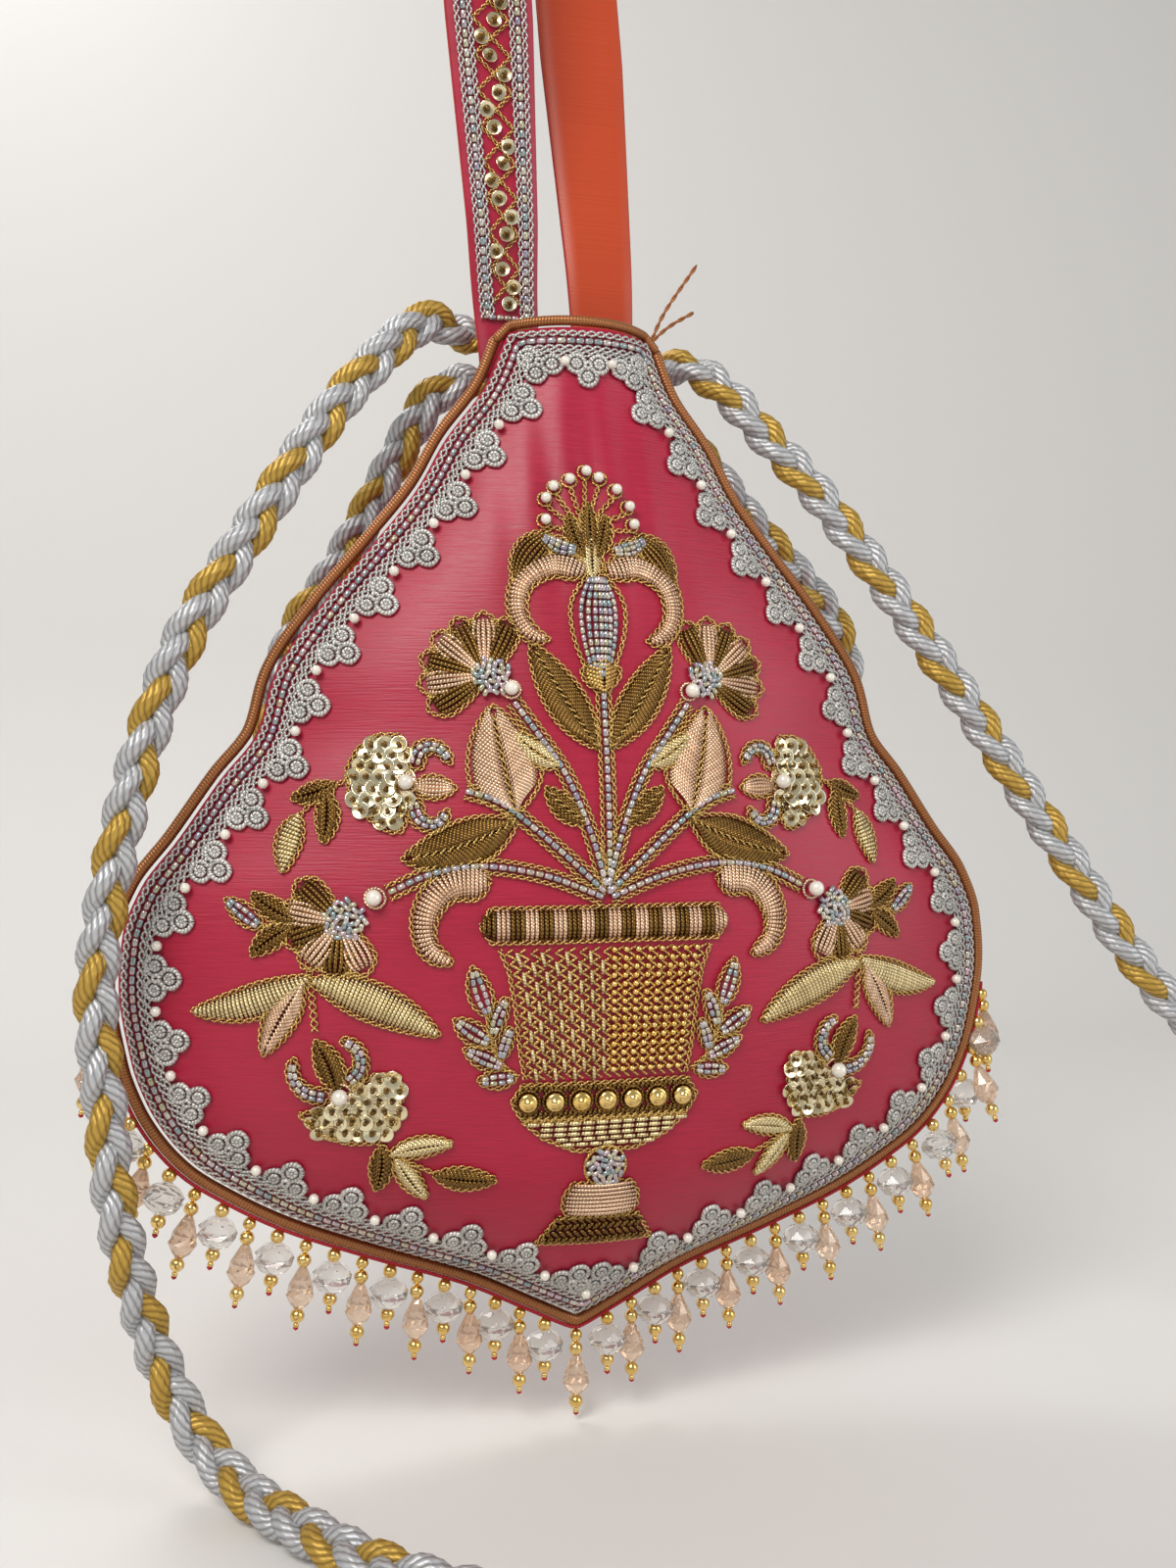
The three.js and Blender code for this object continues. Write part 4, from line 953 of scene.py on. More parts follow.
build("lace_trim", [
    (silver, lace),
    (pearl, [on_silk(lace_pearls, ball(1.25, 6), h=0.5, sides=8)]),
    (opal, [bead_row(lace_ring(LACE_BEADS), pitch=2.15, length=1.85, radius=0.72, h=0.9)]),
], ["lace_border"], "silver_thread")

# %% [markdown]
# Petals and leaves are cut to one rule. A blade has a bowed spine from base to tip, and a half
# width that rises and falls along it. It is filled with bullion along its length, across it, or
# slanting out from the midrib, and then edged with gold chain. A hidden dome of felt under the
# wires makes its middle stand higher than its edge. Each petal could be drawn by hand, but then
# none would be quick to change. A blade is a function instead, and any stitch can follow it.

# %% Blades
def left_of(way):
    """Directions of the plan, a quarter turn to the left."""
    return np.stack([-way[..., 1], way[..., 0]], -1)


def smooth_plan(points, step):
    """A smooth route through points of the plan."""
    return smooth_route([[x, z, 0] for x, z in points], step)[:, :2]


def blade(base, tip, width, bow=0.0, fat=0.45):
    """at(f, v) = spine(f) + v * half width(f) * normal, with f from base to tip. The spine is a
    parabola, and the half width is sin(pi * g) ** 0.75, where g is 0.5 at the fattest place."""
    base, tip = np.array(base, float), np.array(tip, float)
    along = tip - base
    mid = (base + tip) / 2 + bow * np.array([-along[1], along[0]])

    def at(f, v):
        f, v = np.broadcast_arrays(np.asarray(f, float), np.asarray(v, float))
        q = f[..., None]
        spine = (1 - q) ** 2 * base + 2 * q * (1 - q) * mid + q * q * tip
        way = unit((1 - q) * (mid - base) + q * (tip - mid))
        g = np.where(f < fat, f / fat / 2, 0.5 + (f - fat) / (1 - fat) / 2)
        half_width = width / 2 * np.sin(np.pi * np.clip(g, 0, 1)) ** 0.75
        return spine + (v * half_width)[..., None] * left_of(way)
    return at


def band(points, width, end_width=None):
    """The same, for a smooth line through points whose width changes evenly to its end."""
    end_width = width if end_width is None else end_width
    line = smooth_plan(points, 0.5)
    way = unit(np.gradient(line, axis=0))
    share = np.linspace(0, 1, len(line))

    def at(f, v):
        f, v = np.broadcast_arrays(np.asarray(f, float), np.asarray(v, float))
        spine = np.stack([np.interp(f, share, line[:, i]) for i in (0, 1)], -1)
        turn = unit(np.stack([np.interp(f, share, way[:, i]) for i in (0, 1)], -1))
        ends = np.clip(np.minimum(f, 1 - f) * 9, 0, 1) ** 0.5
        half_width = (width + (end_width - width) * f) / 2 * ends
        return spine + (v * half_width)[..., None] * left_of(turn)
    return at


BED = 0.35


def length_of(at):
    """The length of a blade's spine in millimetres."""
    return float(np.linalg.norm(np.diff(at(np.linspace(0, 1, 12), 0), axis=0), axis=1).sum())


def along_fill(at, rows, wire=0.5, lift=0.9, inset=0.06):
    """Bullion from base to tip, side by side, the middle rows highest."""
    v = (np.arange(rows) + 0.5) / rows * 2 - 1
    f = np.linspace(inset, 1 - inset, 9)
    lines = at(f[None, :], v[:, None] * 0.86)
    dome = (1 - v[:, None] ** 2) * np.sin(np.pi * f)[None] ** 0.5
    return [bullion(lines, wire, BED + lift * dome)]


def across_fill(at, pitch=0.95, wire=0.5, lift=1.0):
    """Bullion from one edge to the other, humped over the middle."""
    f = np.linspace(0.04, 0.96, max(int(length_of(at) / pitch), 3))
    v = np.linspace(-0.9, 0.9, 6)
    lines = at(f[:, None], v[None, :])
    return [bullion(lines, wire, BED + lift * (1 - v[None] ** 2) + 0 * f[:, None])]


def vein_fill(at, pitch=1.05, wire=0.5, slant=0.24, lift=0.8):
    """Bullion from the midrib out to each edge, slanting forwards as veins do."""
    count = max(int(length_of(at) / pitch), 3)
    f0 = np.linspace(0.0, 0.84, count)
    g = np.linspace(0, 1, 5)
    batches = []
    for way in (-1, 1):
        f = f0[:, None] + slant * g[None, :] * (1 - 0.4 * f0[:, None])
        v = way * (0.06 + 0.84 * g[None, :]) + 0 * f
        h = BED + lift * (1 - g[None] ** 1.6) + 0 * f
        batches.append(bullion(at(np.clip(f, 0, 0.985), v), wire, h))
    return batches


def bead_fill(at, rows, pitch=1.8, length=1.5, radius=0.6, lift=0.8):
    """Rows of short beads from base to tip."""
    batches = []
    for v in (np.arange(rows) + 0.5) / rows * 2 - 1:
        line = at(np.linspace(0.08, 0.92, 14), v * 0.78)
        batches.append(bead_row(line, pitch, length, radius, 0.6 + lift * (1 - v * v)))
    return batches


def rim_of(at, steps=26, grow=1.04):
    """The outline of a blade as one closed line in plan."""
    f = np.linspace(0, 1, steps)
    return np.concatenate([at(f, -grow), at(f[::-1], grow)[1:], at(f[:1], -grow)])


class Motif:
    """Stitches gathered by finish. Each call adds to the left-hand motif as it is drawn."""

    def __init__(self):
        self.by_finish = {}

    def add(self, finish, batches):
        """Puts batches of one finish in the motif."""
        self.by_finish.setdefault(finish, []).extend(batches)
        return self

    def blade(self, finish, at, fill, **how):
        """Fills a blade with stitches and edges it with gold chain."""
        self.add(finish, fill(at, **how))
        return self.edge(rim_of(at))

    def edge(self, line, **how):
        """Fine gold chain along a line."""
        fine = {"width": 0.85, "pitch": 1.9, "radius": 0.24, **how}
        return self.add(gold, chain(line, **fine))

    def mirrored(self):
        """The right-hand motif: X changes sign, and each ring is turned about to face out."""
        other = Motif()
        for finish, batches in self.by_finish.items():
            other.add(finish, [{**b, "rings": (b["rings"] * [-1, 1, 1])[:, :, ::-1]}
                               for b in batches])
        return other

    def sew(self, name, stands_for, slot):
        """Makes the motif one piece."""
        return build(name, list(self.by_finish.items()), stands_for, slot)


def sew_pair(motif, name, slot):
    """A motif and its mirror image, each in place of its own solid."""
    motif.sew(f"{name}_thread_left", [f"{name}_left"], slot)
    motif.mirrored().sew(f"{name}_thread_right", [f"{name}_right"], slot)


print("blades ready")

# %% [markdown]
# The vase holds seven stems. Each is a row of opal bugle beads between two gold chains, sewn
# along a smooth line. Only the middle stem and the three on the left are drawn. The right-hand
# ones are their mirror image, as a maker would turn the same paper pattern over.

# %% Stems
STEMS = [
    [[0, -87.3], [0.6, -112], [0.6, -136]],
    [[-21.4, -90], [-15.3, -98.5], [-9.3, -107.3], [-3.7, -121], [0, -134]],
    [[-33, -111], [-25, -113.5], [-17.6, -119], [-8, -127.5], [0, -135]],
    [[-50.5, -134.5], [-40, -129.8], [-29, -128.2], [-14, -130.6], [0, -136]],
]


def stem(motif, points):
    """Beads down the middle of a smooth line and a chain on each side."""
    at = band(points, 3.3)
    f = np.linspace(0.02, 0.98, 60)
    motif.add(opal, [bead_row(at(f, 0), 2.1, 1.8, 0.72, 0.9)])
    for v in (-1, 1):
        line = smooth_plan(points, 0.8)
        way = unit(np.gradient(line, axis=0))
        motif.edge((line + v * 1.5 * left_of(way))[1:-1])


stems = Motif()
stem(stems, STEMS[0])
side_stems = Motif()
for points in STEMS[1:]:
    stem(side_stems, points)
for some_stems in (side_stems, side_stems.mirrored()):
    for finish, batches in some_stems.by_finish.items():
        stems.add(finish, batches)
stems.sew("beaded_stems", ["stems"], "pearl_beads")

# %% [markdown]
# The iris at the top has a fan of pearls on wires, a bronze plume, dark petals at the sides, two
# rose curls that fall outwards, and a beaded calyx. It could be one outline with a filling, but
# on the real flower each petal changes the way its stitches run, so each is a blade of its own.
# Its two sides are drawn by one loop.

# %% Iris
iris = Motif()
PEARLS = np.array([[-12.4, -48.2], [-12, -43], [-9.5, -40], [-6, -38.3], [-2.2, -36], [1.6, -37.5],
                   [5, -40.4], [7.8, -44.3], [8.8, -48.6]])
for x, z in PEARLS:
    iris.edge([[x, z - 1.2], [(x - 4.4) / 2 + 0.6, (z - 52) / 2], [-2, -54]], width=1.0, pitch=1.7)
iris.add(gold, [loops(PEARLS, 1.7, 0.32, 0.45, 10, 4)])
iris.add(pearl, [on_silk(PEARLS, ball(1.3), h=0.5, sides=8)])
for base, tip, wide, bow in (([-2, -57], [-1.8, -43.5], 5.4, 0),
                             ([-3.4, -57], [-6.4, -46.4], 4, 0.1),
                             ([-0.6, -57], [2.6, -46.4], 4, -0.1)):
    iris.blade(bronze, blade(base, tip, wide, bow), vein_fill, pitch=1.0)
iris.blade(pale, blade([-1.8, -62], [-1.8, -51.4], 6.0), vein_fill, pitch=0.9)
for side in (-1, 1):
    def this_side(points):
        """x = side * (x + 0.6) - 0.6, which mirrors about the flower's own middle."""
        return [[side * (x + 0.6) - 0.6, z] for x, z in points]
    dark = blade(*this_side([[9.6, -51], [18.2, -64.0]]), 7.4, 0.17 * side)
    iris.blade(bronze, dark, along_fill, rows=6)
    upper = blade(*this_side([[3.2, -55.4], [12.6, -51.8]]), 4.6, -0.14 * side)
    iris.blade(opal, upper, bead_fill, rows=3)
    fall = band(this_side([[1.6, -60.2], [9.6, -58.6], [16.8, -63.0], [18.0, -70.5],
                           [14.6, -75.6], [11.2, -76.2]]), 6.4, 3.4)
    iris.blade(rose, fall, across_fill, pitch=0.9)
calyx = blade([-0.6, -87.5], [-0.6, -59.4], 12.6, 0, 0.62)
iris.blade(opal, calyx, bead_fill, rows=7, lift=1.5)
cup_leaf = blade([-0.2, -88.6], [-0.4, -80.4], 9.0, 0, 0.6)
iris.blade(gold, cup_leaf, vein_fill, pitch=1.0, lift=2.0)
iris.sew("iris_thread", ["iris"], "rose_thread")

# %% [markdown]
# A carnation is a fan of petals that alternate between bronze and rose bullion, round a knot of
# opal beads, with a pearl where it joins its stem. The petals are one blade turned round the
# knot. The beads are spread by the golden rule of a sunflower's seeds, a fixed turn from each
# to the next with the square root of its number as the radius, which packs a round patch evenly.

# %% Carnations
def fan(motif, centre, start, stop, count, reach, wide):
    """Petals at even angles round a centre, bronze and rose in turn."""
    for i, a in enumerate(np.radians(np.linspace(start, stop, count))):
        tip = [centre[0] + reach * np.cos(a), centre[1] + reach * np.sin(a)]
        motif.blade(bronze if i % 2 == 0 else rose, blade(centre, tip, wide, 0, 0.72), along_fill,
                    rows=5, wire=0.55, inset=0.12)


def bead_knot(motif, centre, radius, h=1.7):
    """Bead k sits at radius * sqrt(share) and an angle of 2.4 k, and lies at a random angle."""
    k = np.arange(int(radius * radius * 1.7))
    r, a = radius * np.sqrt((k + 0.5) / len(k)), 2.4 * k
    spots = np.array(centre) + np.stack([r * np.cos(a), r * np.sin(a)], -1)
    turn = chance.random(len(k)) * np.pi
    motif.add(opal, [beads_at(spots, np.stack([np.cos(turn), np.sin(turn)], -1), 1.7, 0.62,
                              (h - 0.12 * r)[:, None])])


def ringed_pearl(motif, x, z, radius=1.7):
    """A pearl in a coil of rose thread."""
    spot = np.array([[x, z]])
    motif.add(rose, [loops(spot, radius + 0.35, 0.42, 0.7, 12)])
    motif.add(pearl, [on_silk(spot, ball(radius), h=0.9, sides=12)])


upper_carnation = Motif()
fan(upper_carnation, (-27, -85), 212, 66, 7, 15, 6.8)
bead_knot(upper_carnation, (-25.6, -85), 4.4)
ringed_pearl(upper_carnation, -21.3, -88)
sew_pair(upper_carnation, "upper_carnation", "bronze_thread")

lower_carnation = Motif()
fan(lower_carnation, (-60, -140.5), 136, 296, 6, 13, 7.0)
bead_knot(lower_carnation, (-59, -140), 4.6)
ringed_pearl(lower_carnation, -52.4, -135.2, 1.9)
lower_carnation.edge([[-63, -140.5], [-70, -140.6], [-77.5, -141.6]])
lower_carnation.blade(opal, blade([-76.8, -141.9], [-84.6, -135.6], 4.4), bead_fill, rows=2)
lower_carnation.blade(bronze, blade([-69.5, -140.2], [-78.9, -134.2], 4.8, 0.1), vein_fill)
lower_carnation.blade(bronze, blade([-70.4, -141.6], [-79.2, -148], 4.8, -0.1), vein_fill)
sew_pair(lower_carnation, "lower_carnation", "bronze_thread")

# %% [markdown]
# Each remaining leaf stands alone on the silk, so it is one blade and one piece. They differ
# only in place, size, bow and stitch. A function for each would say the same thing six times,
# so they are rows of a table. A vein of chain is added where the stitches slant from a midrib.

# %% Leaves
LEAVES = {
    "heart_leaf": (rose, blade([-20.9, -116.4], [-25.6, -91.6], 16, 0.04, 0.36), vein_fill,
                   "rose_thread"),
    "upper_pale_leaf": (pale, blade([-10.6, -105.4], [-21, -97.9], 5.6, 0.12), vein_fill,
                        "pale_gold_thread"),
    "small_leaf": (bronze, blade([-4.6, -118.6], [-13.8, -110.4], 5.4, 0.1), vein_fill,
                   "bronze_thread"),
    "veined_leaf": (bronze, blade([-20.8, -117.8], [-46.4, -126.6], 10.5, 0.1), vein_fill,
                    "bronze_thread"),
    "wavy_leaf": (bronze, blade([-1.6, -101.4], [-16.6, -77.4], 9, 0.03), vein_fill,
                  "bronze_thread"),
    "curled_leaf": (rose, band([[-27, -131.6], [-36.5, -132.4], [-41.6, -139], [-41, -146.4],
                                [-35.6, -150]], 9, 3), across_fill, "rose_thread"),
}
for name, (finish, at, fill, slot) in LEAVES.items():
    motif = Motif().blade(finish, at, fill)
    if fill is vein_fill:
        motif.edge(at(np.linspace(0, 0.92, 20), 0), h=0.9)
    sew_pair(motif, name, slot)

spray = Motif()
spray.blade(pale, blade([-66.4, -152.6], [-92, -160.8], 7.4, 0.14), across_fill, pitch=0.95)
spray.blade(pale, blade([-66.6, -153.4], [-38.4, -166], 8.4, 0.07), across_fill, pitch=0.95)
spray.blade(rose, blade([-68, -154], [-76.6, -170.4], 6.8, -0.06), vein_fill)
spray.edge([[-67, -148], [-66, -159], [-65.5, -165]], width=1.4)
sew_pair(spray, "leaf_spray", "pale_gold_thread")

# %% [markdown]
# The sequin flowers are heaps of small cupped sequins, each sewn down through its middle so that
# they overlap like scales. A pearl, two curved sprigs of opal beads and a few leaves finish them.
# The sequins could be scattered by a particle system, but a maker sews them in rows. So they
# stand on a staggered grid, and those inside the drawn outline are kept.

# %% Sequin flowers
def sequin_heap(motif, outline, pitch=2.9):
    """Cupped sequins on a staggered grid, tipped a little at random. A point is inside where a
    level line to the right of it crosses the outline an odd number of times."""
    outline = np.array(outline, float)
    low, high = outline.min(0), outline.max(0)
    rows, cols = np.meshgrid(np.arange(low[1], high[1], pitch * 0.86),
                             np.arange(low[0], high[0], pitch), indexing="ij")
    stagger = (np.arange(len(rows)) % 2 * pitch / 2)[:, None]
    grid = np.stack([cols + stagger, rows], -1).reshape(-1, 2)
    a, b = outline, np.roll(outline, -1, 0)
    x, z = grid[:, :1], grid[:, 1:]
    crosses = (a[:, 1] > z) != (b[:, 1] > z)
    slope = (b[:, 0] - a[:, 0]) / np.where(b[:, 1] == a[:, 1], 1e-9, b[:, 1] - a[:, 1])
    inside = (crosses & (x < a[:, 0] + (z - a[:, 1]) * slope)).sum(1) % 2 == 1
    spots = grid[inside]
    motif.add(sequin, [on_silk(spots, CUP, h=0.5, sides=14, tilt=0.2)])
    motif.add(bronze, [on_silk(spots, ball(0.6, 5), h=0.7, sides=6)])
    closed = np.concatenate([outline, outline[:1]])
    motif.edge(resampled(closed, step=1.0))


upper_sequin = Motif()
sequin_heap(upper_sequin, [[-46.2, -98.4], [-51, -98.4], [-55.4, -101.6], [-58, -106.3],
                           [-57.6, -111.8], [-54.4, -116.8], [-49, -120.6], [-46, -120.4],
                           [-44.4, -115], [-43.8, -109.5], [-44.6, -103]])
ringed_pearl(upper_sequin, -44.9, -109.5, 1.8)
upper_sequin.blade(rose, blade([-43.6, -110.2], [-34.2, -110.6], 5.2), along_fill, rows=5)
for curve in ([[-43.4, -106.4], [-41.6, -101.8], [-37.8, -101.4], [-35, -105]],
              [[-43.8, -112.8], [-42.4, -117.8], [-38.4, -118.8], [-36, -115.4]]):
    upper_sequin.blade(opal, band(curve, 4.2, 1.8), bead_fill, rows=2)
upper_sequin.edge([[-57.5, -108.5], [-63.5, -111.5], [-68.4, -117]])
upper_sequin.blade(bronze, blade([-60.4, -109.6], [-70, -113], 4.4, 0.1), vein_fill)
upper_sequin.blade(bronze, blade([-62.4, -111.4], [-63.4, -123], 4.8, 0.1), vein_fill)
upper_sequin.blade(pale, blade([-68.2, -116.6], [-72.2, -129.6], 5.4, -0.1), across_fill)
sew_pair(upper_sequin, "upper_sequin_flower", "pale_gold_thread")

lower_sequin = Motif()
sequin_heap(lower_sequin, [[-68.8, -184], [-62, -182.4], [-57.2, -178.4], [-52.6, -174.8],
                           [-47.2, -174.8], [-46.2, -179], [-47.4, -185.6], [-51.8, -190.8],
                           [-58, -191], [-64.6, -188.8]])
ringed_pearl(lower_sequin, -59.8, -179.2, 1.9)
lower_sequin.blade(bronze, blade([-60.6, -178.6], [-65.4, -167], 5.8, -0.1), vein_fill)
for curve in ([[-62, -180], [-67.4, -178.8], [-70.2, -175], [-70, -171]],
              [[-59, -177], [-55.6, -173.4], [-56.4, -168.8], [-60, -166.6]]):
    lower_sequin.blade(opal, band(curve, 3.8, 1.8), bead_fill, rows=2)
lower_sequin.edge([[-51.6, -190.6], [-47.6, -194], [-38, -198.6]])
for finish, base, tip, wide, bow in ((bronze, [-50.6, -191.4], [-51.4, -202.4], 5, 0.1),
                                     (pale, [-48.6, -193.4], [-35, -191.2], 4.6, 0.08),
                                     (pale, [-47.4, -194.2], [-40, -204.4], 4.4, -0.08),
                                     (bronze, [-38.8, -198.6], [-24.8, -200.2], 5.2, -0.06)):
    lower_sequin.blade(finish, blade(base, tip, wide, bow), vein_fill)
sew_pair(lower_sequin, "lower_sequin_flower", "pale_gold_thread")

# %% [markdown]
# The vase is worked like basketry. Its rim is upright bullion in stripes of bronze and rose, and
# its basket has gold zigzags between pale bars on one side and columns of gold beads on the
# other. A woven pattern in a material would lie flat, and this work stands up to 2 mm high, so
# every wire of it is laid. Each part is rows or columns that follow the width at their level.

# %% Vase
def basket_half(z):
    """Half the width of the basket at each level."""
    return np.interp(-z, [146.1, 152, 160, 170, 177.4], [25, 22.6, 21.2, 20, 18.6])


def vase_rim_piece(wires=54, middle=-141.6):
    """Upright wires over a rounded roll, three to a stripe; height = 0.5 + 1.1 sin(pi * v)."""
    x = np.linspace(-28.6, 28.6, wires)
    v = np.linspace(0, 1, 5)
    ends = 1 - np.clip((np.abs(x) - 25.5) / 4, 0, 1) * 0.5
    lines = np.stack([np.broadcast_to(x[:, None], (wires, 5)),
                      middle + ends[:, None] * 3.7 * (1 - 2 * v)[None]], -1)
    stripe = np.arange(wires) // 3 % 2
    h = np.broadcast_to(0.5 + 1.1 * np.sin(np.pi * v), (wires, 5))
    rim = Motif()
    rim.add(bronze, [bullion(lines[stripe == 0], 0.56, h[stripe == 0])])
    rim.add(rose, [bullion(lines[stripe == 1], 0.56, h[stripe == 1])])
    rim.edge([[-29.4, -141.6], [-27, -137.7], [27, -137.7], [29.4, -141.6], [27, -145.5],
              [-27, -145.5], [-29.4, -141.6]])
    rim.sew("vase_rim_thread", ["vase_rim"], "bronze_thread")


def vase_basket_piece():
    """Zigzags x = (u + 0.042 * triangle wave) * half width, with bars or beads between them."""
    basket = Motif()
    z = np.linspace(-146.9, -176.8, 53)
    wave = np.abs((np.arange(len(z)) % 4) - 2) - 1.0
    columns = np.linspace(-0.94, 0.94, 17)
    zigzag = np.stack([(columns[:, None] + 0.042 * wave[None]) * basket_half(z)[None],
                       np.broadcast_to(z[None], (len(columns), len(z)))], -1)
    basket.add(gold, [bullion(zigzag, 0.42, 0.55, 4)])
    between = (columns[1:] + columns[:-1]) / 2
    for i, u in enumerate(between):
        if u < 0:
            top = -147.6 - 4.4 * np.arange(7) - (i % 2) * 2.2
            top = top[top > -174.4]
            ends = top[:, None] - np.linspace(0, 3.3, 4)[None]
            bars = np.stack([u * basket_half(ends), ends], -1)
            basket.add(pale, [bullion(bars, 0.5, 1.0)])
        else:
            level = np.arange(-147.6, -176.6, -1.95)
            spots = np.stack([u * basket_half(level), level], -1)
            basket.add(gold_bead, [on_silk(spots, ball(0.82, 5), h=0.35, sides=7)])
    for side in (-1, 1):
        basket.edge(np.stack([side * basket_half(z) * 1.02, z], -1))
    basket.sew("vase_basket_thread", ["vase_basket"], "gold_thread")


def stud_band_piece():
    """Seven gold studs between two lines of bronze bullion."""
    belt = Motif()
    spots = np.stack([np.arange(-3, 4) * 6.1, np.full(7, -182.0)], -1)
    belt.add(gold_bead, [on_silk(spots, [(0, 2.3), (0.7, 2.2), (1.1, 1.7), (0.95, 1.2), (1.5, 0.9),
                                         (1.8, 0.3)], h=0.9, sides=12)])
    belt.add(bronze, [loops(spots, 2.7, 0.42, 0.6, 14)])
    x = np.linspace(-20, 20, 36)
    rise = np.array([-1, 0, 1])
    for z in (-179.0, -185.0):
        posts = np.stack(np.broadcast_arrays(x[:, None] + 0.4 * rise, z + 0.9 * rise), -1)
        belt.add(bronze, [bullion(posts, 0.55, 0.5)])
    belt.edge([[-19.6, -178], [19.6, -178], [22, -182], [19.6, -186], [-19.6, -186], [-22, -182],
               [-19.6, -178]])
    belt.sew("stud_band_thread", ["stud_band"], "gold_thread")


def bowl_and_foot():
    """Basket weave in short level lengths, a beaded knop, a ribbed barrel and a plaited foot."""
    bowl = Motif()
    for row, z in enumerate(np.arange(-187.3, -193.2, -1.25)):
        reach = np.interp(-z, [186.5, 190.6, 193.6], [19.4, 14.6, 7])
        x = np.arange(-reach + (row % 2) * 1.6, reach - 1.2, 3.2)
        lines = np.stack([x[:, None] + np.linspace(0, 2.9, 4)[None], np.full((len(x), 4), z)], -1)
        bowl.add(pale, [bullion(lines, 0.62, 0.8)])
    bowl.edge([[-19.4, -186.5], [19.4, -186.5], [14.6, -190.6], [7, -193.9], [-7, -193.9],
               [-14.6, -190.6], [-19.4, -186.5]])
    bowl.sew("vase_bowl_thread", ["vase_bowl"], "pale_gold_thread")
    foot = Motif()
    bead_knot(foot, (0.3, -198), 4.4)
    foot.add(gold, [loops(np.array([[0.3, -198.0]]), 4.9, 0.4, 0.5, 20)])
    for z in np.arange(-202.4, -210.4, -1.0):
        reach = np.interp(-z, [202, 205, 208.4, 211], [6.6, 8.4, 8.4, 6.6])
        x = np.linspace(-reach, reach, 10)
        barrel = 0.6 + 1.0 * np.cos(x / reach * 1.4)
        foot.add(rose, [bullion(np.stack([x, np.full(10, z)], -1)[None], 0.55, barrel[None])])
    for row, z in enumerate((-211.4, -213.2, -215.0, -216.8)):
        x = np.arange(-9.4 - row * 1.1, 9.4 + row * 1.1, 1.7)
        lean = 0.9 if row % 2 else -0.9
        lines = np.stack([x[:, None] + lean * np.linspace(-1, 1, 3)[None],
                          z + 0.8 * np.linspace(-1, 1, 3)[None] + 0 * x[:, None]], -1)
        foot.add(bronze, [bullion(lines, 0.6, 0.7)])
    foot.edge([[-7, -202], [7, -202], [8.9, -205], [8.9, -208.4], [7, -210.8], [-7, -210.8],
               [-8.9, -208.4], [-8.9, -205], [-7, -202]])
    foot.edge([[-9.6, -210.8], [9.6, -210.8], [14, -217.6], [-14, -217.6], [-9.6, -210.8]])
    foot.sew("vase_foot_thread", ["vase_foot"], "bronze_thread")


vase_rim_piece()
vase_basket_piece()
stud_band_piece()
bowl_and_foot()

twig = band([[-20.4, -176], [-24.4, -173], [-27, -167], [-27.8, -161]], 1)
laurel = Motif().edge(twig(np.linspace(0, 1, 30), 0))
for base, tip, wide, bow in (([-27.4, -162], [-31.2, -150.6], 5, 0.05),
                             ([-26.8, -166.6], [-23.4, -157.6], 3.8, 0.1),
                             ([-27, -168], [-35.2, -162.4], 4.8, 0.05),
                             ([-24.8, -172], [-22.4, -164.4], 3.4, 0.1),
                             ([-24, -173.6], [-33, -169.2], 4.4, 0),
                             ([-21, -176], [-29.8, -176.6], 4.2, 0)):
    laurel.blade(opal, blade(base, tip, wide, bow), bead_fill, rows=2)
sew_pair(laurel, "laurel", "pearl_beads")

# %% [markdown]
# The fringe hangs from the piping on red thread. Short strands end in a faceted rondelle and
# long ones in a teardrop, with gold beads above and below and a red knot at the end. Every bead
# is turned from a profile. A crystal could be cut with a Bevel modifier, but a facet is only a
# flat face, so crystals have few sides, alternate rings are turned by half a side, and they are
# not shaded smooth.

# %% Bead fringe
THREAD_OUT = PIPE_OUT + PIPING + 0.55
DROP_PITCH, DROPS_A_SIDE, THREAD_REACH = 7.0, 20, 142.0


def fringe_places():
    """Points just outside the piping at an even pitch each way from the bag's point, with the
    direction of each strand: splayed outwards, and leaning near the ends of the fringe."""
    _, _, moved = edge_line(THREAD_OUT)
    k = np.arange(-DROPS_A_SIDE, DROPS_A_SIDE + 1)
    s = EDGE_RUN[-1] * 0.5 + k * DROP_PITCH
    top = np.stack([np.interp(s, EDGE_RUN, moved[:, 0]), np.interp(s, EDGE_RUN, moved[:, 1])], -1)
    splay = np.radians(14) * np.sign(k) * np.minimum(np.abs(k) / 14, 1) ** 2
    lean = np.where(np.abs(k) > 14, np.radians(13) * (((k + 30) % 3) - 1), 0)
    down = np.stack([np.sin(splay) * np.cos(lean), np.sin(lean), -np.cos(splay) * np.cos(lean)], -1)
    return k, in_seam_plane(top), down


def strand_beads(centres, ways, start, profile, sides, turns=0.0):
    """One bead of each strand, a set distance down it."""
    return turned(centres + ways * start, ways, profile, sides, roll=turns, out=(0.2, -1, 0.1))


k, top, down = fringe_places()
long_one = k % 2 == 0
long = (top[long_one], down[long_one])
short = (top[~long_one], down[~long_one])
half_a_side = np.array([0, 1, 0, 1, 0, 1]) * np.pi / 8
rondelle = [(0, 1.3), (1.1, 3.3), (3.0, 4.75), (4.6, 4.75), (6.6, 3.3), (7.6, 1.3)]
tear = [(0, 0.9), (1.0, 1.5), (4.4, 2.9), (6.6, 3.45), (8.8, 2.2), (10, 0.8)]
gold_parts = [
    strand_beads(*short, 0.2, ball(1.75, 6), 9), strand_beads(*short, 10.6, ball(1.75, 6), 9),
    strand_beads(*long, 0.2, ball(1.6, 6), 9), strand_beads(*long, 3.4, ball(1.75, 6), 9),
    strand_beads(*long, 16.6, ball(1.75, 6), 9),
    strand_beads(*short, 13.9, ball(0.8, 4), 6), strand_beads(*long, 19.9, ball(0.75, 4), 6),
]
